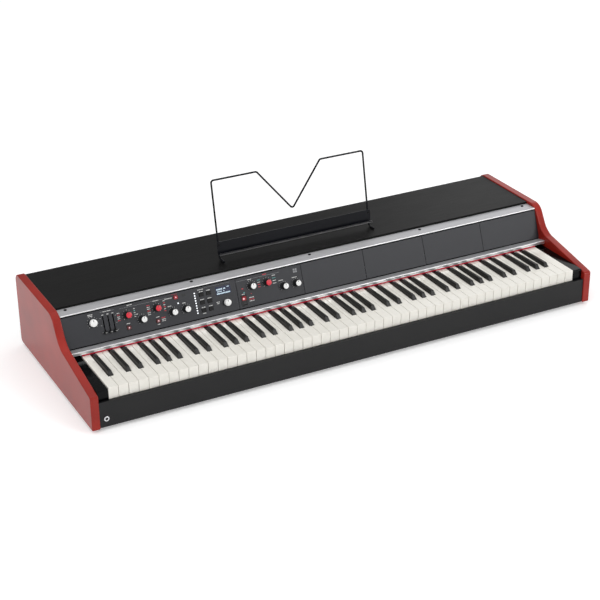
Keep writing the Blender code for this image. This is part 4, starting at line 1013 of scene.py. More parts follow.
@dataclass
class FrontRail:
    """The key slip with its thick foot, and the phones socket at its left end."""

    thickness: float = 7.6 * MM
    foot_height: float = 46.6 * MM
    top_radius: float = 2.0 * MM
    rim: float = 0.6 * MM
    flange: float = 1.6 * MM
    flange_radius: float = 6.1 * MM
    bore_radius: float = 3.3 * MM
    bore_depth: float = 26.0 * MM
    barrel_radius: float = 4.8 * MM
    nut_radius: float = 5.2 * MM
    socket_edge: float = 0.35 * MM
    seat_gap: float = 0.3 * MM

    def build(self) -> None:
        """Models the rail and its socket."""
        self.rail()
        self.socket()

    def rail(self) -> None:
        """Models the rail: a thin upper board on a thick foot, bored for the socket."""
        low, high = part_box("key_slip")
        back = low.y + self.thickness
        shoulder = low.z + self.foot_height
        obj = block("front_rail", low, (high.x, back, high.z))
        with shaping(obj):
            slice_at((0.0, 0.0, shoulder), UP)
            pick(Part.FACES, lambda face: looks(face, BACK) and face.calc_center_median().z < shoulder)
            extrude((0.0, high.y - back, 0.0))
            flatten_lines()
            pick(Part.EDGES, upper_front_edge(low, high))
            round_picked(self.top_radius, 4)
        soften(obj, self.rim, 2)
        jack_low, jack_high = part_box("phones_jack")
        middle = (jack_low + jack_high) / 2
        drill = round_bar("drill", self.barrel_radius + self.seat_gap, -jack_high.y, jack_high.y)
        settle(drill, Matrix.Translation(middle) @ Matrix.Rotation(math.pi / 2, 4, "X"))
        carve(obj, drill)
        smooth(obj, angle=60.0)
        hand_over(obj, CASE, BLACK_RAIL, stands_for=["key_slip"], slot="board_wood")

    def socket(self) -> None:
        """Models the plated socket: a flange with a round nut, and a barrel with a dark bore."""
        low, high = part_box("phones_jack")
        depth = high.y - low.y
        obj = round_bar("phones_socket", self.flange_radius, -self.flange, 0.0)
        with shaping(obj):
            pick(Part.FACES, faces_to(UP))
            inset(self.flange_radius - self.nut_radius)
            extrude((0.0, 0.0, 0.0))
            inset(self.nut_radius - self.bore_radius)
            extrude((0.0, 0.0, -self.bore_depth))
            pick(
                Part.FACES,
                lambda face: looks(face, DOWN) and face.calc_center_median().z > -2 * self.flange,
            )
            inset(self.flange_radius - self.barrel_radius)
            extrude((0.0, 0.0, self.flange - depth))
        paint_faces(
            obj,
            1,
            lambda face: face.center.z < -self.flange / 2
            and math.hypot(face.center.x, face.center.y) < self.bore_radius + NEAR,
        )
        soften(obj, self.socket_edge, 3, angle=50.0)
        place = Matrix.Translation(((low.x + high.x) / 2, low.y, (low.z + high.z) / 2))
        settle(obj, place @ Matrix.Rotation(math.pi / 2, 4, "X"))
        hand_over(obj, CASE, CHROME, SOCKET_BLACK, stands_for=["phones_jack"], slot="chrome")


@dataclass
class Keyboard:
    """The 88 keys: 52 white and 36 black, of which the middle octave moves."""

    side: SideView
    whites: int = 52
    pitch: float = 23.5 * MM
    gap: float = 1.0 * MM
    cut: float = 47.0 * MM
    black_width: float = 11.5 * MM
    black_crown: float = 7.8 * MM
    black_front: float = 49.0 * MM
    black_back: float = 148.0 * MM
    side_gap: float = 0.8 * MM
    slant: float = 7.0 * MM
    back_slant: float = 1.0 * MM
    rise_front: float = 9.5 * MM
    rise_back: float = 6.2 * MM
    shoulder_drop: float = 0.4 * MM
    leg: float = 16.0 * MM
    bar_clear: float = 1.6 * MM
    bar_height: float = 8.0 * MM
    white_edge: float = 0.45 * MM
    black_edge: float = 1.3 * MM
    body_edge: float = 0.5 * MM
    moving_octave: int = 4
    offsets: dict[str, float] = field(
        default_factory=lambda: {"A": 0.10, "C": -0.14, "D": 0.12, "F": -0.14, "G": 0.0}
    )

    def __post_init__(self) -> None:
        """Reads the heights of the keys from the frame."""
        low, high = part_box("key_C4")
        self.under = low.z
        self.top = high.z
        self.end = high.y
        self.templates: dict[tuple[float, float], Object] = {}

    def letter(self, white: int) -> str:
        """The letter of a white key, counted from the lowest."""
        return "ABCDEFG"[white % 7]

    def moves(self, white: int) -> bool:
        """Whether the key is one of the octave whose keys each move by themselves."""
        return (white + 5) // 7 == self.moving_octave

    def left(self, white: int) -> float:
        """The x of the joint before a white key."""
        return (white - self.whites / 2) * self.pitch

    def has_black(self, white: int) -> bool:
        """Whether a black key follows this white key."""
        return 0 <= white < self.whites - 1 and self.letter(white) in self.offsets

    def black_x(self, white: int) -> float:
        """The middle of the black key that follows a white key."""
        return self.left(white + 1) + self.offsets[self.letter(white)] * self.pitch

    def notches(self, white: int) -> tuple[float, float]:
        """How much a white key's tail is cut back for the black keys on its left and on its right."""
        room = self.black_width / 2 + self.side_gap
        left = right = 0.0
        if self.has_black(white - 1):
            left = self.black_x(white - 1) + room - (self.left(white) + self.gap / 2)
        if self.has_black(white):
            right = self.left(white + 1) - self.gap / 2 - (self.black_x(white) - room)
        return round(left, 7), round(right, 7)

    def white_template(self, left: float, right: float) -> Object:
        """Models a white key from x = 0: a head, and a tail cut back this much on each side."""
        width = self.pitch - self.gap
        front = self.side.front
        obj = block("white_key", (0.0, front, self.under), (width, front + self.cut, self.top))
        with shaping(obj):
            for x in (left, width - right):
                if 0.0 < x < width:
                    slice_at((x, 0.0, 0.0), (1.0, 0.0, 0.0))
            pick(
                Part.FACES,
                lambda face: looks(face, BACK) and left < face.calc_center_median().x < width - right,
            )
            extrude((0.0, self.end - front - self.cut, 0.0))
            flatten_lines()
        return soften(obj, self.white_edge, 3)

    def white_key(self, white: int) -> Object:
        """A copy of the right template at its place."""
        shape = self.notches(white)
        if shape not in self.templates:
            self.templates[shape] = self.white_template(*shape)
        x = self.left(white) + self.gap / 2
        return copy_to(self.templates[shape], "white_key_copy", Matrix.Translation((x, 0.0, 0.0)))

    def black_template(self, end: float) -> Object:
        """Models a black key about x = 0: a body, a crown, and a leg where its tail ends."""
        half = self.black_width / 2
        front = self.side.front + self.black_front
        back = self.side.front + self.black_back
        shoulder = self.top - self.shoulder_drop
        foot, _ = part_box("key_C4_sharp")
        leg_front = end - self.leg
        obj = block("black_key", (-half, front, self.under), (half, end, shoulder))
        with shaping(obj):
            for place in (back, leg_front):
                slice_at((0.0, place, 0.0), BACK)
            pick(Part.FACES, lambda face: looks(face, DOWN) and face.calc_center_median().y > leg_front)
            extrude((0.0, 0.0, foot.z - self.under))
            pick(Part.FACES, lambda face: looks(face, UP) and face.calc_center_median().y < back)
            extrude((0.0, 0.0, self.rise_back + self.shoulder_drop))
            resize((self.black_crown / self.black_width, 1.0, 1.0), (0.0, front, shoulder))
            crown = self.top + self.rise_back - NEAR
            pick(Part.VERTS, lambda vert: vert.co.z > crown and vert.co.y < front + MM)
            shift((0.0, self.slant, self.rise_front - self.rise_back))
            pick(Part.VERTS, lambda vert: vert.co.z > crown and vert.co.y > back - MM)
            shift((0.0, -self.back_slant, 0.0))
            pick(Part.EDGES, lambda edge: all(vert.co.z > crown for vert in edge.verts))
            round_picked(self.black_edge, 4)
        return soften(obj, self.body_edge, angle=30.0)

    def build(self) -> None:
        """Places all the keys, the moving ones as pieces of their own."""
        fixed_white: list[Object] = []
        fixed_black: list[Object] = []
        _, sharp_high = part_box("key_C4_sharp")
        template = self.black_template(sharp_high.y)
        for white in range(self.whites):
            node = f"key_{self.letter(white)}{self.moving_octave}"
            keys = [(node, self.white_key(white), fixed_white)]
            if self.has_black(white):
                place = Matrix.Translation((self.black_x(white), 0.0, 0.0))
                keys.append((f"{node}_sharp", copy_to(template, "black_key_copy", place), fixed_black))
            for name, key, fixed in keys:
                if self.moves(white):
                    key.name = f"{name}_cap"
                    self.give(key, name, name)
                else:
                    fixed.append(key)
        fixed_white.append(self.rear_bar("white_key_comb", self.end))
        fixed_black.append(self.rear_bar("black_key_comb", sharp_high.y))
        self.give(unite("white_keys", fixed_white), CASE, "white_key_comb")
        self.give(unite("black_keys", fixed_black), CASE, "black_key_comb")
        for used in (template, *self.templates.values()):
            bpy.data.objects.remove(used)

    @staticmethod
    def give(obj: Object, body: str, node: str) -> None:
        """Hands over white or black keys to a body, in place of a node."""
        if node.endswith("_sharp") or node.startswith("black"):
            hand_over(obj, body, KEY_BLACK, stands_for=[node], slot="black_plastic")
        else:
            hand_over(obj, body, KEY_WHITE, stands_for=[node], slot="ivory_plastic")

    def rear_bar(self, node: str, start: float) -> Object:
        """The bar behind a comb's keys, from the end of their tails to the back of the node."""
        low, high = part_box(node)
        white = node.startswith("white")
        top = self.top if white else self.under - self.bar_clear
        under = self.under if white else top - self.bar_height
        return soften(block("rear_bar", (low.x, start, under), (high.x, high.y, top)), self.white_edge)


@dataclass
class TrimRails:
    """The two aluminium rails, the screws in the upper one and the felt behind the lower one's lip."""

    side: SideView
    panel: PanelFace
    plate: float = 3.2 * MM
    plate_setback: float = 0.1 * MM
    sheet: float = 2.6 * MM
    lip: float = 8.3 * MM
    depth: float = 26.0 * MM
    fall: float = 5.2 * MM
    rib: float = 2.5 * MM
    rib_cover: float = 6.0 * MM
    seat_gap: float = 0.3 * MM
    nose: float = 1.4 * MM
    lip_nose: float = 0.56 * MM
    rim: float = 0.25 * MM
    screw_xs: tuple[float, ...] = (-616.5 * MM, -309.0 * MM, 0.0, 309.0 * MM, 616.5 * MM)
    screw_back: float = 232.8 * MM
    screw_radius: float = 3.6 * MM
    screw_height: float = 1.1 * MM
    screw_head: float = 1.3 * MM
    cross_width: float = 0.9 * MM
    cross_length: float = 3.2 * MM
    screw_edge: float = 0.45 * MM
    felt_shrink: float = 0.15 * MM
    felt_step: float = 18.0 * MM
    felt_cuts: int = 3
    felt_edge: float = 0.6 * MM
    felt_nap: float = 4.0 * MM

    def build(self) -> None:
        """Models the rails, their screws and the felt."""
        self.upper_rail()
        self.lower_rail()
        _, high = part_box("upper_trim_rail")
        row = self.side.point(0.0, self.screw_back, 0.0).y
        places = [Matrix.Translation((x, row, high.z)) for x in self.screw_xs]
        hand_over(stamp(self.screw(), "trim_screws", places), CASE, BLACK_OXIDE)
        self.felt()

    def upper_rail(self) -> None:
        """Models the upper rail: a plate with a rounded front edge that carries a painted highlight, and a
        rib behind the panels.
        """
        node = "upper_trim_rail"
        low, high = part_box(node)
        under = high.z - self.plate
        front = self.panel.corner(self.panel.span, 0.0)[0] + self.plate_setback
        behind = self.panel.sheet + self.seat_gap
        rib_y, rib_z = self.panel.corner(self.panel.span - self.rib_cover, behind)
        root = rib_y + (under - rib_z) * math.tan(self.panel.lean)
        section = [
            (high.y, under, 0.0),
            (high.y, high.z, 0.0),
            (front, high.z, self.nose),
            (front, under, self.nose),
            (root, under, 0.0),
            (rib_y, rib_z, 0.0),
            (rib_y + self.rib, rib_z, 0.0),
            (root + self.rib, under, 0.0),
        ]
        obj = soften(bar_along_x(f"{node}_bar", section, low.x, high.x), self.rim)
        # The rib's faces below the plate are painted black: painted shade in the joint.
        self.finish_rail(obj, node, front, lambda face: face.center.z < under - self.rim)

    def lower_rail(self) -> None:
        """Models the lower rail: a drop lip over the keys, a top that falls to the panels, and a rib."""
        node = "lower_trim_rail"
        low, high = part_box(node)
        top = low.z + self.lip
        heel = top - self.fall
        back = low.y + self.depth
        rib_y, rib_z = self.panel.corner(self.rib_cover, self.panel.sheet + self.seat_gap)
        root = rib_y - (rib_z - heel) * math.tan(self.panel.lean)
        section = [
            (low.y + self.sheet, low.z, 0.0),
            (low.y, low.z, self.lip_nose),
            (low.y, top, self.nose),
            (back, heel, 0.0),
            (root, heel, 0.0),
            (rib_y, rib_z, 0.0),
            (rib_y + self.rib, rib_z, 0.0),
            (root + self.rib, heel - self.sheet, 0.0),
            (back, heel - self.sheet, 0.0),
            (low.y + self.sheet, top - self.sheet, 0.0),
        ]
        obj = soften(bar_along_x(f"{node}_bar", section, low.x, high.x), self.rim)
        # The rib's faces behind the rail are painted black: painted shade in the joint.
        self.finish_rail(obj, node, low.y, lambda face: face.center.y > back + NEAR)

    def finish_rail(
        self, obj: Object, node: str, front: float, painted_shade_faces: Callable[[object], bool]
    ) -> None:
        """Hands a rail over: brushed, with a painted highlight on its front edge and painted shade on its
        rib.
        """
        # Front-facing faces at the front edge get the lighter copy of the metal: a painted highlight.
        paint_faces(obj, 1, lambda face: face.center.y < front + self.nose and looks(face, -BACK, 0.2))
        # The faces that the test picks, on the rib, get dead black: painted shade.
        paint_faces(obj, 2, painted_shade_faces)
        hand_over(
            obj, CASE, TRIM_METAL, HIGHLIGHT_METAL, PAINTED_SHADE_BLACK, stands_for=[node], slot="brushed_aluminium"
        )

    def screw(self) -> Object:
        """A low round head with a cross recess, seated on z = 0."""
        obj = round_bar("screw", self.screw_radius, -self.screw_height, self.screw_head, 28)
        long, wide = self.cross_length / 2, self.cross_width / 2
        for half_x, half_y in ((long, wide), (wide, long)):
            carve(obj, slab("arm", half_x, half_y, 0.0, 2 * self.screw_head))
        return soften(obj, self.screw_edge, 3)

    def felt(self) -> None:
        """Models the felt strip: a soft edge, and a skin that is never quite flat."""
        low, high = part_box("key_felt")
        rim = Vector((self.felt_shrink,) * 3)
        obj = block("felt_strip", low + rim, high - rim)
        count = int((high.x - low.x) / self.felt_step)
        with shaping(obj):
            pick(Part.EDGES, lambda edge: edge_along(0, edge))
            bpy.ops.mesh.subdivide(number_cuts=count)
            pick(Part.EDGES, lambda edge: edge_along(2, edge))
            bpy.ops.mesh.subdivide(number_cuts=self.felt_cuts)
        apply_modifier(obj, "BEVEL", width=self.felt_edge, segments=2, limit_method="ANGLE")
        nap = bpy.data.textures.new("felt_nap", "CLOUDS")
        nap.noise_scale = self.felt_nap
        apply_modifier(obj, "DISPLACE", texture=nap, strength=2 * self.felt_shrink, mid_level=0.5)
        smooth(obj, angle=60.0)
        hand_over(obj, CASE, RED_FELT, stands_for=["key_felt"], slot="red_felt")


@dataclass
class Boards:
    """The wooden boards, the panels and the inner parts whose shape the frame already has."""

    side: SideView

    def build(self) -> None:
        """Dresses the frame's own nodes."""
        self.side.dress(BLACK_ASH, "top_board")
        self.side.dress(BLACK_RAIL, "bottom_board", "back_board")
        self.side.dress(
            PANEL_COAT, "control_panel", "effects_panel", *(f"blank_panel_{n}" for n in range(1, 5))
        )
        self.side.dress(MILL_METAL, "key_frame")
        self.side.dress(BOARD_GREEN, "main_board")
        self.side.dress(STAND_COAT, "rear_socket_plate")


class KnobSize(Enum):
    """The knobs' sizes: cap radius, body radius and height."""

    LARGE = (8.1 * MM, 8.6 * MM, 10.0 * MM)
    ENCODER = (7.4 * MM, 7.9 * MM, 10.0 * MM)
    SMALL = (6.7 * MM, 8.2 * MM, 14.5 * MM)


@dataclass
class Knobs:
    """The eleven knobs: a fluted body on a skirt, a coloured cap and an index line."""

    panel: PanelFace
    joints: Sequence[dict]
    skirt_height: float = 3.0 * MM
    skirt_cover: float = 0.8 * MM
    seat_gap: float = 0.3 * MM
    shaft_radius: float = 3.0 * MM
    shaft_depth: float = 9.0 * MM
    cap_thickness: float = 1.8 * MM
    cap_gap: float = 0.35 * MM
    cap_edge: float = 0.5 * MM
    cap_dome: tuple[float, float] = (0.25 * MM, 0.15 * MM)
    cap_ring: float = 0.35
    seat_ring: float = 0.8 * MM
    index_width: float = 1.3 * MM
    index_proud: float = 0.08 * MM
    index_depth: float = 0.9 * MM
    index_fall: float = 0.3 * MM
    index_reach: tuple[float, float] = (0.30, 0.92)
    flute_rim: float = 0.12 * MM
    flute_depth: float = 0.3 * MM
    sides: int = 60
    white_bodies: tuple[str, ...] = ("volume_knob", "data_encoder_knob")
    red_caps: tuple[str, ...] = ("reverb_type_knob", "modulation_type_knob", "effect_type_knob")

    def size_of(self, name: str) -> KnobSize:
        """The size of a knob by its name."""
        if name == "volume_knob":
            return KnobSize.LARGE
        return KnobSize.ENCODER if name == "data_encoder_knob" else KnobSize.SMALL

    def body(self, size: KnobSize) -> Object:
        """Models a knob's body about z = 0: a skirt, a fluted wall drawn in to the cap, and a shaft."""
        cap, body, height = size.value
        skirt = body + self.skirt_cover
        top = height - self.cap_thickness
        obj = round_bar("knob_body", skirt, self.seat_gap, self.skirt_height, self.sides)
        with shaping(obj):
            pick(Part.FACES, faces_to(UP))
            inset(self.skirt_cover)
            extrude((0.0, 0.0, top - self.skirt_height))
            share = (cap + self.cap_edge) / body
            resize((share, share, 1.0), (0.0, 0.0, top))
            inset(self.seat_ring)
            pick(Part.FACES, self.is_flute)
            inset(self.flute_rim, -self.flute_depth, single=True)
            pick(Part.FACES, faces_to(DOWN, 0.999))
            inset(skirt - self.shaft_radius)
            extrude((0.0, 0.0, -self.shaft_depth - self.seat_gap))
        paint_faces(obj, 1, lambda face: face.center.z < self.skirt_height + NEAR / 2)
        return soften(obj, TURNED_EDGE, angle=50.0)

    def is_flute(self, face: object) -> bool:
        """Whether a face is one of the flutes: every other one of the wall's sides."""
        middle = face.calc_center_median()
        if abs(face.normal.z) > 0.5 or middle.z < self.skirt_height:
            return False
        turn = math.atan2(middle.y, middle.x) / math.tau * self.sides
        return round(turn - 0.5) % 2 == 0

    def cap(self, size: KnobSize) -> Object:
        """Models a knob's cap, slightly domed, with its index line as a second finish."""
        radius, _, height = size.value
        top = height - self.index_proud
        obj = round_bar("knob_cap", radius, height - self.cap_thickness + self.cap_gap, top, self.sides)
        with shaping(obj):
            pick(Part.FACES, faces_to(UP))
            shift((0.0, 0.0, -sum(self.cap_dome)))
            for rise in self.cap_dome:
                inset(self.cap_ring * radius, rise)
        soften(obj, self.cap_edge, 3, angle=50.0)
        near, far = (share * radius for share in self.index_reach)
        half = self.index_width / 2
        line = block("index", (-half, near, top - self.index_depth), (half, far, height))
        with shaping(line):
            pick(Part.FACES, faces_to(BACK))
            shift((0.0, 0.0, -self.index_fall))
        soften(line, CRISP_EDGE)
        paint_faces(line, 1, lambda face: True)
        return unite("knob_cap", [give_slots(piece, CAP_WHITE, KNOB_BLACK) for piece in (obj, line)])

    def build(self) -> None:
        """Places each knob on the pivot that the frame gives it."""
        templates = {size: (self.body(size), self.cap(size)) for size in KnobSize}
        for joint in self.joints:
            name = joint["child"]
            if not joint["name"].endswith("_turn"):
                continue
            body, cap = templates[self.size_of(name)]
            place = Matrix.Translation(Vector(joint["pos_m"])) @ self.panel.turn
            white = (CAP_WHITE, "white_cap")
            wall, wall_slot = white if name in self.white_bodies else (KNOB_BLACK, "black_plastic")
            top, top_slot = (CAP_RED, "red_cap") if name in self.red_caps else white
            wall_piece, top_piece = copy_to(body, f"{name}_body", place), copy_to(cap, f"{name}_cap", place)
            hand_over(wall_piece, name, wall, KNOB_BLACK, stands_for=[name], slot=wall_slot)
            hand_over(top_piece, name, top, KNOB_BLACK, stands_for=[name], slot=top_slot)
        for used in (piece for pair in templates.values() for piece in pair):
            bpy.data.objects.remove(used)


@dataclass
class Switches:
    """The lit buttons, the keypad, the sliders, the rocker and the small lamps."""

    panel: PanelFace
    seat_gap: float = 0.3 * MM
    buttons: tuple[str, ...] = ("reverb_button", "modulation_button", "tremolo_button")
    bright_lens: str = "tremolo_button"
    button_size: tuple[float, float] = (9.4 * MM, 8.6 * MM)
    button_rise: float = 2.2 * MM
    button_depth: float = 6.0 * MM
    button_corner: float = 1.4 * MM
    button_rim: float = 1.2 * MM
    button_dish: float = 0.2 * MM
    spot_radius: float = 1.5 * MM
    spot_height: float = 0.5 * MM
    keypad_key: tuple[float, float] = (11.0 * MM, 8.0 * MM)
    keypad_pitch: tuple[float, float] = (18.3 * MM, 18.4 * MM)
    keypad_grid: tuple[int, int] = (2, 3)
    keypad_rise: float = 1.6 * MM
    keypad_rim: float = 1.0 * MM
    keypad_dish: float = 0.15 * MM
    mat: float = 2.0 * MM
    mat_margin: float = 4.0 * MM
    sliders: int = 3
    slider_cap: tuple[float, float, float] = (5.6 * MM, 7.4 * MM, 9.0 * MM)
    slider_stem: tuple[float, float, float] = (1.8 * MM, 6.0 * MM, 8.0 * MM)
    slider_hollow: float = 1.2 * MM
    slider_top: float = 2.0 * MM
    slider_line: float = 0.45 * MM
    slider_taper: float = 0.86
    rocker_size: tuple[float, float] = (10.2 * MM, 19.4 * MM)
    rocker_heights: tuple[float, float, float] = (-5.0 * MM, 1.0 * MM, 3.0 * MM)
    rocker_frame: float = 2.2 * MM
    rocker_frame_height: float = 0.9 * MM
    rocker_gap: float = 0.6 * MM
    rocker_spot: float = 2.4 * MM
    rocker_spot_place: tuple[float, float] = (-0.3, 0.45)
    lamp_radius: float = 1.7 * MM
    lamp_foot: float = 0.1 * MM
    lamp_rise: float = 0.8 * MM
    lamp_x: float = -316.0 * MM
    lamp_below: float = 12.6 * MM
    lamp_step: float = 5.8 * MM
    lamp_count: int = 9
    single_lamp: tuple[float, float] = (-359.0 * MM, 26.0 * MM)

    def build(self) -> None:
        """Models every switch and lamp."""
        for node in self.buttons:
            self.button(node)
        self.keypad()
        for number in range(self.sliders):
            self.slider(f"level_slider_{number + 1}")
        self.rocker()
        self.lamps()

    def spot(self, name: str, radius: float, top: float) -> Object:
        """A small bright disc under a lens, up to this height."""
        return soften(round_bar(name, radius, top - self.spot_height, top, 24), PLATED_EDGE)

    def button(self, node: str) -> None:
        """Models a lit push button: a tinted lens with a bright spot."""
        across, up = self.button_size[0] / 2, self.button_size[1] / 2
        obj = slab(f"{node}_lens", across, up, self.button_rise - self.button_depth, self.button_rise)
        with shaping(obj):
            pick(Part.EDGES, lambda edge: edge_along(2, edge))
            round_picked(self.button_corner, 4)
            pick(Part.FACES, faces_to(UP))
            inset(self.button_rim, -self.button_dish)
        place = self.panel.before(node)
        settle(soften(obj, CUT_EDGE), place)
        lens = LENS_BRIGHT if node == self.bright_lens else LENS_RED
        hand_over(obj, node, lens, stands_for=[node], slot="red_lens")
        spot = settle(self.spot(f"{node}_spot", self.spot_radius, self.button_rise), place)
        hand_over(spot, node, LAMP_SPOT, stands_for=[node], slot="red_lens")

    def keypad(self) -> None:
        """Models the six keys of the keypad on their mat, which is taken square to the panel."""
        node = "display_keypad"
        columns, rows = self.keypad_grid
        pitch_x, pitch_y = self.keypad_pitch
        across, up = self.keypad_key[0] / 2, self.keypad_key[1] / 2
        top = -self.panel.sheet - self.seat_gap
        key = slab("keypad_key", across, up, top - self.mat / 2, self.keypad_rise)
        with shaping(key):
            pick(Part.FACES, faces_to(UP))
            inset(self.keypad_rim, -self.keypad_dish)
        soften(key, SOFT_EDGE)
        end_x, end_y = pitch_x * (columns - 1) / 2, pitch_y * (rows - 1) / 2
        spots = [
            Matrix.Translation((column * pitch_x - end_x, row * pitch_y - end_y, 0.0))
            for column in range(columns)
            for row in range(rows)
        ]
        half_x, half_y = end_x + across + self.mat_margin, end_y + up + self.mat_margin
        mat = soften(slab("mat", half_x, half_y, top - self.mat, top), CUT_EDGE)
        obj = unite("keypad_keys", [stamp(key, "keypad_key_copies", spots), mat])
        low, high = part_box(node)
        foot = (low.z - self.panel.foot.z + (self.mat - top) * self.panel.sine) / self.panel.cosine
        settle(obj, self.panel.place((low.x + high.x) / 2, foot + half_y))
        hand_over(obj, node, KEYPAD_BLACK, stands_for=[node], slot="black_plastic")

    def slider(self, node: str) -> None:
        """Models a slider's cap, hollowed for a fingertip and crossed by a white line, on its stem."""
        cap_x, cap_y, cap_z = self.slider_cap
        stem_x, stem_y, stem_z = self.slider_stem
        obj = slab(f"{node}_cap", cap_x / 2, cap_y / 2, self.seat_gap, cap_z)
        with shaping(obj):
            for place in (-self.slider_line, self.slider_line):
                slice_at((0.0, place, 0.0), BACK)
            pick(Part.VERTS, lambda vert: vert.co.z > cap_z - MM and abs(vert.co.y) < MM)
            shift((0.0, 0.0, -self.slider_hollow))
            pick(Part.VERTS, lambda vert: vert.co.z > cap_z - self.slider_top)
            resize((self.slider_taper, self.slider_taper, 1.0), (0.0, 0.0, cap_z))
        soften(obj, MOULDED_EDGE, angle=30.0)
        paint_faces(obj, 1, lambda face: abs(face.center.y) < self.slider_line and looks(face, UP, 0.5))
        stem = slab("stem", stem_x / 2, stem_y / 2, -stem_z, 2 * self.seat_gap)
        soften(stem, PLATED_EDGE)
        unite(f"{node}_cap", [give_slots(piece, KNOB_BLACK, INK_WHITE) for piece in (obj, stem)])
        settle(obj, self.panel.before(node))
        hand_over(obj, node, KNOB_BLACK, INK_WHITE, stands_for=[node], slot="black_plastic")

    def rocker(self) -> None:
        """Models the rocker: a lit red half above a black half, in a thin frame."""
        node = "effects_rocker"
        half_x, half_y = self.rocker_size[0] / 2, self.rocker_size[1] / 2
        low, middle, high = self.rocker_heights
        obj = slab("rocker_paddle", half_x, half_y, low, middle)
        with shaping(obj):
            slice_at((0.0, 0.0, 0.0), BACK)
            pick(Part.VERTS, lambda vert: vert.co.z > 0.0 and vert.co.y > half_y - MM)
            shift((0.0, 0.0, high - middle))
        soften(obj, MOULDED_EDGE, angle=30.0)
        paint_faces(obj, 1, lambda face: face.center.y < 0.0)
        box_low, box_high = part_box(node)
        upper_end = (box_high.z - self.panel.foot.z - high * self.panel.sine) / self.panel.cosine
        place = self.panel.place((box_low.x + box_high.x) / 2, upper_end - half_y)
        settle(obj, place)
        hand_over(obj, node, LENS_BRIGHT, KNOB_BLACK, stands_for=[node], slot="red_lens")

        tilt = math.atan((high - middle) / half_y)
        spot_x, spot_y = half_x * self.rocker_spot_place[0], half_y * self.rocker_spot_place[1]
        spot_z = middle + spot_y * math.tan(tilt) - self.spot_height / 2
        seat = Matrix.Translation((spot_x, spot_y, spot_z))
        glow = self.spot("rocker_spot", self.rocker_spot, self.spot_height)
        settle(glow, place @ seat @ Matrix.Rotation(tilt, 4, "X"))
        hand_over(glow, node, LAMP_SPOT, stands_for=[node], slot="red_lens")

        frame = frame_around(
            "rocker_frame", half_x + self.rocker_gap, half_y + 2 * self.rocker_gap,
            self.rocker_frame, self.rocker_frame_height,
        )
        settle(soften(frame, CUT_EDGE), place)
        hand_over(frame, CASE, KNOB_BLACK, slot="black_plastic")

    def lamps(self) -> None:
        """Models the column of level lamps and the single one."""
        template = round_bar("lamp", self.lamp_radius, -self.lamp_foot, self.lamp_rise, 20)
        soften(template, ROUND_EDGE, 3)
        spots = [(self.lamp_x, self.lamp_below + self.lamp_step * n) for n in range(self.lamp_count)]
        places = [self.panel.place(x, self.panel.down(below)) for x, below in (*spots, self.single_lamp)]
        hand_over(stamp(template, "level_lamps", places), CASE, LAMP_WHITE)


@dataclass
class Display:
    """The small display: a dark window in its recess, and the lit segments behind it."""

    panel: PanelFace
    size: tuple[float, float] = (38.6 * MM, 19.8 * MM)
    centre: tuple[float, float] = (-244.0 * MM, 52.8 * MM)
    recess: float = 1.2 * MM
    sunk: float = 0.3 * MM
    gap: float = 0.15 * MM
    segment_rise: float = 0.06 * MM

    def build(self) -> None:
        """Models the window and its segments."""
        half_x, half_y = self.size[0] / 2 - self.gap, self.size[1] / 2 - self.gap
        place = self.panel.place(*self.centre)
        window = soften(slab("display_window", half_x, half_y, -self.recess, -self.sunk), CUT_EDGE)
        hand_over(settle(window, place), CASE, DISPLAY_DARK)
        template = slab("segment", 0.5, 0.5, -self.sunk, self.segment_rise - self.sunk)
        places = [
            place @ Matrix.Translation((x * MM, y * MM, 0.0)) @ Matrix.Diagonal((w * MM, h * MM, 1.0, 1.0))
            for x, y, w, h in self.segments()
        ]
        hand_over(stamp(template, "display_segments", places), CASE, DISPLAY_LIT)

    @staticmethod
    def segments() -> list[tuple[float, float, float, float]]:
        """The lit blocks, each (x, y, width, height) in millimetres from the display's middle."""
        blocks = [(-16.0 + 2.6 * number, 3.4, 1.8, 3.4) for number in range(9) if number != 6]
        blocks += [(-14.6 + 3.2 * number, -1.8, 1.9, 2.4) for number in range(6) if number != 4]
        blocks += [(-15.6 + 3.1 * number, -6.6, 2.5, 2.8) for number in range(11)]
        return [*blocks, (12.8, 6.4, 6.0, 1.4)]


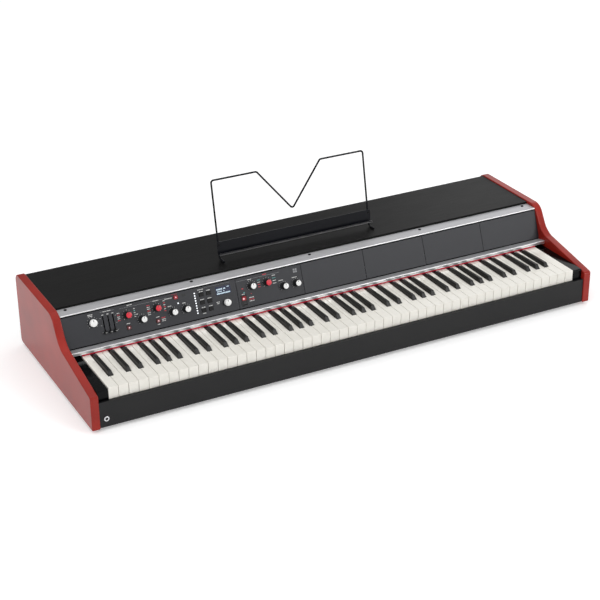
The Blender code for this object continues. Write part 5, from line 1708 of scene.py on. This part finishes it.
@dataclass
class Legends:
    """The printed scales, rules and plain label bars of the two modules with controls."""

    panel: PanelFace
    ink: float = 0.05 * MM
    bite: float = 0.02 * MM
    rule: float = 0.4
    label_height: float = 1.7
    label_space: float = 0.8
    tick: tuple[float, float] = (0.8, 1.2)
    long_tick: tuple[float, float] = (0.8, 1.9)
    sweep: float = math.radians(270.0)
    small_scale: float = 11.2
    type_scale: float = 11.4

    def __post_init__(self) -> None:
        """Starts an empty list of marks for each ink."""
        self.marks: dict[Finish, list[Matrix]] = {
            finish: [] for finish in (INK_WHITE, INK_GREY, INK_RED, INK_TEAL, INK_BLACK)
        }

    def mark(
        self, finish: Finish, x: float, below: float, width: float, height: float, turn: float = 0.0
    ) -> None:
        """Adds one printed mark. As in all of this class, plain numbers are millimetres.

        Args:
            finish: Its ink.
            x: The middle of it across the piano.
            below: How far below the panel's upper edge it lies.
            width: Its width.
            height: Its height.
            turn: How far it is turned, in radians.
        """
        place = self.panel.place(x * MM, self.panel.down(below * MM))
        size = Matrix.Diagonal((width * MM, height * MM, 1.0, 1.0))
        self.marks[finish].append(place @ Matrix.Rotation(turn, 4, "Z") @ size)

    def label(
        self, x: float, below: float, words: Sequence[float], finish: Finish = INK_WHITE
    ) -> None:
        """Adds a row of short bars of these widths, where a control is named."""
        total = sum(words) + self.label_space * (len(words) - 1)
        start = x - total / 2
        for width in words:
            self.mark(finish, start + width / 2, below, width, self.label_height)
            start += width + self.label_space

    def scale(self, x: float, below: float, radius: float, count: int = 11) -> None:
        """Adds the ticks round a knob at this radius, open at its foot."""
        for number in range(count):
            turn = self.sweep * (0.5 - number / (count - 1))
            size = self.long_tick if number in (0, count // 2, count - 1) else self.tick
            dx, dy = -math.sin(turn) * radius, math.cos(turn) * radius
            self.mark(INK_WHITE, x + dx, below - dy, *size, turn)

    def build(self) -> None:
        """Prints both modules."""
        self.control_panel()
        self.effects_panel()
        for finish, places in self.marks.items():
            template = slab("ink_mark", 0.5, 0.5, -self.bite, self.ink)
            piece = stamp(template, f"{finish.name.split('_')[0]}_print", places)
            hand_over(piece, CASE, finish)

    def control_panel(self) -> None:
        """Prints the left module."""
        self.label(-569.5, 7.0, (7.0, 4.0))
        self.label(-569.5, 10.2, (4.0, 5.5))
        self.scale(-566.3, 25.9, 12.6)
        self.mark(INK_GREY, -529.0, 6.6, 34.0, self.rule)
        self.label(-530.0, 6.6, (8.5, 9.0))
        for x in (-541.3, -529.0, -517.3):
            self.label(x, 13.4, (4.6,))
        for number in range(3):
            for x in (-547.6, -511.0):
                self.mark(INK_WHITE, x, 20.0 + 16.5 * number, 2.6, 0.6)
        self.mark(INK_GREY, -441.0, 8.4, 118.0, self.rule)
        self.label(-475.0, 4.6, (6.5, 5.0))
        for number in range(5):
            red = INK_RED if number in (1, 4) else INK_WHITE
            self.label(-504.5, 17.5 + 4.2 * number, (3.4, 1.8), red)
            teal = INK_TEAL if number in (1, 3) else INK_WHITE
            self.label(-465.5, 15.0 + 4.6 * number, (3.8,), teal)
        self.scale(-484.0, 25.5, self.type_scale, 9)
        self.scale(-450.0, 42.6, self.small_scale)
        self.label(-463.0, 29.0, (4.5, 4.0))
        self.label(-484.9, 45.4, (8.6,))
        self.label(-411.8, 8.6, (6.5, 7.0))
        for number in range(6):
            red = INK_RED if number in (0, 3) else INK_WHITE
            self.label(-431.5, 15.5 + 4.2 * number, (4.2, 2.2), red)
            red = INK_RED if number % 2 else INK_WHITE
            self.label(-392.5, 13.0 + 4.6 * number, (4.6,), red)
        self.scale(-411.8, 25.6, self.type_scale, 9)
        self.scale(-374.3, 42.7, self.small_scale)
        self.scale(-342.0, 42.8, self.small_scale)
        self.label(-381.0, 28.6, (5.0, 3.0))
        self.label(-345.0, 28.6, (7.5,))
        self.label(-413.5, 46.2, (8.6,))
        for number in range(3):
            self.label(-400.0, 50.0 + 3.8 * number, (5.2, 3.4), INK_RED if number == 0 else INK_WHITE)
        self.label(-413.5, 63.2, (6.4,))
        self.label(-381.0, 10.6, (12.0, 5.0))
        self.mark(INK_RED, -365.0, 3.9, 15.0, 0.7)
        self.mark(INK_BLACK, -342.5, 10.8, 9.5, 5.6)
        self.label(-300.0, 6.8, (9.0, 5.0))
        self.mark(INK_GREY, -258.0, 4.6, 66.0, self.rule)
        for column_x in (-299.5, -281.2):
            for number in range(3):
                self.label(column_x, 12.0 + 18.4 * number, (4.0, 4.6))
        self.label(-299.5, 62.6, (8.0,))
        self.label(-262.0, 45.0, (4.4, 2.6))
        self.label(-262.0, 48.4, (5.6,))

    def effects_panel(self) -> None:
        """Prints the second module."""
        self.mark(INK_GREY, -153.0, 8.4, 114.0, 0.5)
        for x in (-58.2, -52.8):
            for below in (10.4, 15.6):
                self.mark(INK_GREY, x, below, 4.4, 4.2)
        self.label(-135.0, 5.4, (10.0,), INK_RED)
        self.label(-175.0, 9.6, (4.5, 4.0))
        self.scale(-172.2, 24.3, self.small_scale)
        self.scale(-132.2, 25.0, self.type_scale, 9)
        for number, ink in enumerate((INK_TEAL, INK_WHITE, INK_RED, INK_RED)):
            self.label(-152.5, 15.5 + 5.4 * number, (3.6, 2.2), ink)
            teal = INK_TEAL if number == 1 else INK_WHITE
            self.label(-112.5, 12.5 + 6.2 * number, (5.2, 2.4), teal)
        self.mark(INK_RED, -196.0, 27.5, 4.0, 2.2)
        self.mark(INK_TEAL, -193.5, 37.0, 4.0, 2.2)
        self.mark(INK_RED, -176.0, 43.0, 2.4, 1.6)
        self.scale(-90.4, 43.0, self.small_scale)
        self.scale(-57.1, 42.7, self.small_scale)
        self.label(-96.0, 28.4, (6.5, 4.0))
        self.label(-60.0, 28.4, (6.0, 6.0))
        self.label(-196.3, 40.6, (7.0,))
        for number, finish in enumerate((INK_WHITE, INK_RED, INK_WHITE)):
            self.label(-177.0, 51.5 + 4.0 * number, (6.4, 5.0), finish)


@dataclass
class MusicStand:
    """The bent wire with its tray, and the bolts that hold them together."""

    side: SideView
    wire: float = 2.25 * MM
    lean: float = math.radians(10.85)
    back: float = 303.0 * MM
    half_width: float = 204.0 * MM
    rise: float = 188.4 * MM
    tooth: float = 85.4 * MM
    notch_rise: float = 82.5 * MM
    foot: float = 25.0 * MM
    bend: float = 6.0 * MM
    foot_bend: float = 9.0 * MM
    sheet: float = 1.5 * MM
    overhang: float = 4.5 * MM
    tray_lift: float = 8.0 * MM
    tray_rise: float = 32.5 * MM
    ledge: float = 9.5 * MM
    lip: float = 6.0 * MM
    fold: float = 1.6 * MM
    edge: float = 0.3 * MM
    bolt_rise: float = 33.0 * MM
    bolt_radius: float = 3.0 * MM
    bolt_head: float = 1.8 * MM
    bolt_dome: float = 0.6
    bolt_rim: float = 0.4 * MM
    bolt_recess: float = 1.0 * MM
    seat_gap: float = 0.3 * MM

    def point(self, x: float, rise: float, depth: float = 0.0) -> Vector:
        """A point this far across, up the lean from the foot, and behind the wire's middle."""
        _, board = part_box("top_board")
        foot = Vector((x, self.side.front + self.back, board.z + self.seat_gap + self.wire))
        along = Vector((0.0, math.sin(self.lean), math.cos(self.lean)))
        inward = Vector((0.0, math.cos(self.lean), -math.sin(self.lean)))
        return foot + along * rise + inward * depth

    def build(self) -> None:
        """Models the wire, the tray and the bolts."""
        self.bent_wire()
        self.tray()
        self.bolts()

    def bent_wire(self) -> None:
        """Bends the wire from foot to foot over two shoulders and a notch."""
        half = [
            (self.point(-self.half_width, 0.0) - Vector((0.0, self.foot, 0.0)), 0.0),
            (self.point(-self.half_width, 0.0), self.foot_bend),
            (self.point(-self.half_width, self.rise), self.bend),
            (self.point(-self.tooth, self.rise), self.bend),
        ]
        other = [(Vector((-corner.x, corner.y, corner.z)), radius) for corner, radius in reversed(half)]
        line = bent_line("stand_wire", [*half, (self.point(0.0, self.notch_rise), self.bend), *other])
        wire = tube(line, self.wire)
        hand_over(wire, CASE, STAND_COAT, stands_for=["music_stand_wire"], slot="black_wire")

    def tray(self) -> None:
        """Folds the tray: a back leaf, a ledge and an upturned lip."""
        leaf = -self.wire - self.seat_gap - self.sheet / 2
        front = leaf - self.ledge - self.sheet
        low = self.tray_lift + self.sheet / 2
        half = self.half_width + self.overhang
        corners = [
            (self.point(-half, self.tray_lift + self.tray_rise, leaf), 0.0),
            (self.point(-half, low, leaf), self.fold),
            (self.point(-half, low, front), self.fold),
            (self.point(-half, self.tray_lift + self.lip, front), 0.0),
        ]
        obj = bent_line("stand_tray", corners, 5)
        with shaping(obj):
            pick_all()
            extrude((2 * half, 0.0, 0.0))
        apply_modifier(obj, "SOLIDIFY", thickness=self.sheet, offset=0.0)
        with shaping(obj):
            face_outward()
        soften(obj, self.edge, angle=50.0)
        # The faces in front of the ledge's inner side, the lip and its fold, get the lighter coat: a
        # painted highlight.
        inner = self.point(0.0, self.tray_lift, front + self.sheet).y
        paint_faces(obj, 1, lambda face: face.center.y < inner)
        hand_over(
            obj, CASE, STAND_COAT, LIP_HIGHLIGHT_COAT, stands_for=["music_stand_tray"], slot="black_wire"
        )

    def bolts(self) -> None:
        """Models a button-head bolt at each end of the tray."""
        template = round_bar("bolt", self.bolt_radius, -self.seat_gap, self.bolt_head, 32)
        with shaping(template):
            pick(Part.FACES, faces_to(UP))
            resize((self.bolt_dome, self.bolt_dome, 1.0), (0.0, 0.0, 0.0))
            inset(self.bolt_rim)
            extrude((0.0, 0.0, -self.bolt_recess))
        soften(template, TURNED_EDGE)
        depth = -self.wire - self.seat_gap - self.sheet
        turn = Matrix.Rotation(math.pi / 2 - self.lean, 4, "X")
        places = [
            Matrix.Translation(self.point(x, self.bolt_rise, depth)) @ turn
            for x in (-self.half_width, self.half_width)
        ]
        hand_over(stamp(template, "stand_bolts", places), CASE, BLACK_OXIDE)


@dataclass
class RearSockets:
    """What fills the rear socket plate: a mains inlet, line and MIDI sockets and a USB socket.

    Each is modelled about the middle of its opening, with +Z out of the plate.
    """

    margin: float = 12.0 * MM
    pitch: float = 26.0 * MM
    inlet: tuple[float, float] = (27.0 * MM, 19.0 * MM)
    inlet_rim: float = 2.0 * MM
    inlet_rise: float = 1.2 * MM
    pin: tuple[float, float] = (4.0 * MM, 1.8 * MM)
    pin_ends: tuple[float, float] = (-18.0 * MM, -5.0 * MM)
    pin_places: tuple[tuple[float, float], ...] = ((-7.0, -2.0), (0.0, 2.5), (7.0, -2.0))
    jacks: int = 4
    jack_radius: float = 3.5 * MM
    nut_radius: float = 6.5 * MM
    nut_height: float = 1.6 * MM
    washer_margin: float = 0.8 * MM
    washer_height: float = 0.5 * MM
    dins: int = 2
    din_radius: float = 7.5 * MM
    din_gap: float = 0.3 * MM
    din_ends: tuple[float, float] = (-6.0 * MM, -3.0 * MM)
    din_rim: float = 1.6 * MM
    din_rise: float = 0.8 * MM
    contact_circle: float = 4.6 * MM
    contact_radius: float = 0.8 * MM
    contact_depth: float = 2.0 * MM
    contacts: int = 5
    usb: tuple[float, float] = (11.8 * MM, 10.8 * MM)
    usb_ends: tuple[float, float] = (-10.0 * MM, 0.4 * MM)
    usb_wall: float = 0.5 * MM
    usb_well: float = 8.0 * MM
    tongue: tuple[float, float] = (6.0 * MM, 5.0 * MM)
    tongue_ends: tuple[float, float] = (-9.0 * MM, -1.5 * MM)

    def build(self) -> None:
        """Models the fittings, from the inlet to the right as seen from the front."""
        low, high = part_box("rear_socket_plate")
        plate = Vector((0.0, high.y, (low.z + high.z) / 2))
        turn = Matrix.Rotation(-math.pi / 2, 4, "X")
        inlet_x = low.x + self.inlet[0] / 2 + self.margin
        first = inlet_x + self.inlet[0] / 2 + self.pitch
        xs = [inlet_x, *(first + self.pitch * n for n in range(self.jacks + self.dins + 1))]
        places = [Matrix.Translation(plate + Vector((x, 0.0, 0.0))) @ turn for x in xs]
        inlet, *jacks = places[: self.jacks + 1]
        *dins, usb = places[self.jacks + 1 :]
        pins = [inlet @ Matrix.Translation((x * MM, -up * MM, 0.0)) for x, up in self.pin_places]
        rim = frame_around("inlet_rim", *(side / 2 for side in self.inlet), self.inlet_rim, self.inlet_rise)
        hand_over(settle(soften(rim, SOFT_EDGE), inlet), CASE, SOCKET_BLACK)
        pin = soften(slab("pin", *(side / 2 for side in self.pin), *self.pin_ends), SOFT_EDGE)
        hand_over(stamp(pin, "inlet_pins", pins), CASE, NICKEL)
        hand_over(stamp(self.nut(), "line_socket_nuts", jacks), CASE, NICKEL)
        hand_over(stamp(self.din_face(), "midi_sockets", dins), CASE, SOCKET_BLACK)
        hand_over(settle(self.usb_shell(), usb), CASE, NICKEL)
        tongue = slab("usb_tongue", *(side / 2 for side in self.tongue), *self.tongue_ends)
        hand_over(settle(soften(tongue, SOFT_EDGE), usb), CASE, SOCKET_BLACK)

    def nut(self) -> Object:
        """A hexagon nut with its washer, open for the plug, standing on z = 0."""
        nut = soften(round_bar("nut", self.nut_radius, 0.0, self.nut_height, 6), CUT_EDGE)
        washer = round_bar("washer", self.nut_radius + self.washer_margin, 0.0, self.washer_height, 36)
        bore = round_bar("bore", self.jack_radius, CUT_BELOW, 3 * self.nut_height, 32)
        return carve(unite("nut", [nut, washer]), bore)

    def din_face(self) -> Object:
        """A round socket face with five holes on an arc, sunk in its bore, and a rim on the plate."""
        face = round_bar("din", self.din_radius - self.din_gap, *self.din_ends, 40)
        bottom = self.din_ends[1] - self.contact_depth
        for number in range(self.contacts):
            turn = math.pi * (1 + number / (self.contacts - 1))
            hole = round_bar("contact_hole", self.contact_radius, bottom, 0.0, 12)
            spot = Vector((math.cos(turn), math.sin(turn), 0.0)) * self.contact_circle
            carve(face, settle(hole, Matrix.Translation(spot)))
        rim = round_bar("rim", self.din_radius + self.din_rim, 0.0, self.din_rise, 40)
        carve(rim, round_bar("bore", self.din_radius, CUT_BELOW, CUT_ABOVE, 40))
        return unite("din", [soften(piece, PLATED_EDGE) for piece in (face, rim)])

    def usb_shell(self) -> Object:
        """The plated shell of the USB socket, open to the back."""
        shell = slab("usb_shell", *(side / 2 for side in self.usb), *self.usb_ends)
        with shaping(shell):
            pick(Part.FACES, faces_to(UP))
            inset(self.usb_wall)
            extrude((0.0, 0.0, -self.usb_well))
        return soften(shell, PLATED_EDGE)


@dataclass
class Feet:
    """The four rubber feet, each with a screw in its recess."""

    radius: float = 15.0 * MM
    taper: float = 1.5 * MM
    recess_radius: float = 6.0 * MM
    recess: float = 4.0 * MM
    edge: float = 0.8 * MM

    def build(self) -> None:
        """Models the feet and their screws."""
        for end in ("front", "rear"):
            for side in ("left", "right"):
                self.foot(f"{end}_{side}_foot")

    def foot(self, node: str) -> None:
        """Models the foot that stands for a node, its screw as a second finish."""
        low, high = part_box(node)
        obj = round_bar(f"{node}_pad", self.radius, 0.0, high.z)
        with shaping(obj):
            pick(Part.FACES, faces_to(DOWN))
            share = (self.radius - self.taper) / self.radius
            resize((share, share, 1.0), (0.0, 0.0, 0.0))
            inset(self.radius - self.taper - self.recess_radius)
            extrude((0.0, 0.0, self.recess))
        paint_faces(obj, 1, lambda face: looks(face, DOWN) and face.center.z > self.recess / 2)
        soften(obj, self.edge, 3, angle=50.0)
        settle(obj, Matrix.Translation(((low.x + high.x) / 2, (low.y + high.y) / 2, 0.0)))
        hand_over(obj, CASE, RUBBER, BLACK_OXIDE, stands_for=[node], slot="rubber")


# The studio


@dataclass
class Studio:
    """A plain pale floor, soft light and the camera at the photograph's viewing angle."""

    camera_place: tuple[float, float, float] = (-1.558549, -2.937100, 1.717394)
    azimuth: float = math.radians(27.4855)
    descent: float = math.radians(26.4483)
    roll: float = math.radians(-0.5017)
    focal_length: float = 91.92
    sensor: float = 36.0
    floor_size: float = 400.0
    floor_colour: str = "#F4F4F4"
    floor_lift: float = 0.3
    zenith: float = 1.1
    horizon: float = 0.22
    ceiling_rise: tuple[float, float] = (0.42, 0.95)
    backdrop_fade: tuple[float, float] = (0.18, 0.3)

    def build(self) -> None:
        """Sets the floor, the lamps, the sky and the camera."""
        self.floor()
        self.sky()
        self.lamp("key_light", (3.4, -6.4, 3.9), 2.7, 165.0)
        self.lamp("low_light", (4.0, -5.0, 1.2), 1.2, 34.0)
        self.lamp("side_light", (-3.2, -2.0, 2.8), 2.4, 50.0)
        self.lamp("back_light", (3.6, 3.4, 2.6), 2.4, 21.0)
        self.camera()
        bpy.context.scene.view_settings.view_transform = "Standard"

    def floor(self) -> None:
        """Lays the floor, which looks white where the object throws no shadow."""
        bpy.ops.object.select_all(action="DESELECT")
        bpy.ops.mesh.primitive_plane_add(size=self.floor_size)
        plane = bpy.context.object
        plane.name = "studio_floor"
        material = bpy.data.materials.new("matt_white_floor")
        material.use_nodes = True
        tree = material.node_tree
        shader = tree.nodes["Principled BSDF"]
        shader.inputs["Base Color"].default_value = linear(self.floor_colour)
        shader.inputs["Roughness"].default_value = 1.0
        shader.inputs["Specular IOR Level"].default_value = 0.0
        seen = calculate(tree, "MULTIPLY", self.shown(tree), self.floor_lift)
        shader.inputs["Emission Color"].default_value = (1.0, 1.0, 1.0, 1.0)
        tree.links.new(seen, shader.inputs["Emission Strength"])
        plane.data.materials.append(material)

    def shown(self, tree: NodeTree) -> NodeSocket:
        """Tells the rays that show the background from those that light the piano.

        Args:
            tree: The nodes to add to.

        Returns:
            A socket that holds 1 for a camera, glossy or transmission ray, and 0 for any other.
        """
        rays = add_node(tree, "ShaderNodeLightPath").outputs
        mirrored = calculate(tree, "MAXIMUM", rays["Is Camera Ray"], rays["Is Glossy Ray"])
        return calculate(tree, "MAXIMUM", mirrored, rays["Is Transmission Ray"])

    def sky(self) -> None:
        """Lights the room from a pale ceiling that darkens down to a white backdrop."""
        world = bpy.data.worlds.new("studio_sky")
        bpy.context.scene.world = world
        world.use_nodes = True
        tree = world.node_tree
        background = tree.nodes["Background"]
        background.inputs["Color"].default_value = (1.0, 1.0, 1.0, 1.0)
        way = add_node(tree, "ShaderNodeTexCoord").outputs["Generated"]
        height = add_node(tree, "ShaderNodeSeparateXYZ", {}, {"Vector": way}).outputs["Z"]
        level = remap(tree, height, self.ceiling_rise, (self.horizon, self.zenith), "SMOOTHSTEP")
        backdrop = remap(tree, height, self.backdrop_fade, (1.0, 0.0), "SMOOTHSTEP")
        seen = calculate(tree, "MULTIPLY", backdrop, self.shown(tree))
        strength = calculate(tree, "MAXIMUM", level, seen)
        tree.links.new(strength, background.inputs["Strength"])

    def lamp(self, name: str, place: tuple[float, float, float], size: float, power: float) -> None:
        """Adds a large soft lamp that points at the piano.

        Args:
            name: The lamp's name.
            place: Where it stands.
            size: The side of its square face.
            power: Its power in watts.
        """
        light = bpy.data.lights.new(name, "AREA")
        light.size = size
        light.energy = power
        obj = bpy.data.objects.new(name, light)
        obj.location = place
        obj.rotation_euler = (-Vector(place)).to_track_quat("-Z", "Y").to_euler()
        bpy.context.scene.collection.objects.link(obj)

    def camera(self) -> None:
        """Places the camera."""
        lens = bpy.data.cameras.new("studio_camera")
        lens.lens = self.focal_length
        lens.sensor_width = self.sensor
        obj = bpy.data.objects.new("studio_camera", lens)
        aim = Matrix.Rotation(-self.azimuth, 4, "Z")
        aim = aim @ Matrix.Rotation(math.pi / 2 - self.descent, 4, "X")
        aim = aim @ Matrix.Rotation(self.roll, 4, "Z")
        obj.matrix_world = Matrix.Translation(self.camera_place) @ aim
        bpy.context.scene.collection.objects.link(obj)
        bpy.context.scene.camera = obj


def main() -> None:
    """Builds every sub-assembly around the frame, and the studio around them."""
    logging.basicConfig(level=logging.INFO, format="%(name)s: %(message)s")
    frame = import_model()
    side = SideView(frame["nodes"])
    panel = PanelFace()
    Studio().build()
    Boards(side).build()
    Cheeks(side).build()
    KeyBlocks().build()
    FrontRail().build()
    Keyboard(side).build()
    TrimRails(side, panel).build()
    Knobs(panel, frame["joints"]).build()
    Switches(panel).build()
    Display(panel).build()
    Legends(panel).build()
    MusicStand(side).build()
    RearSockets().build()
    Feet().build()


if __name__ == "__main__":
    main()
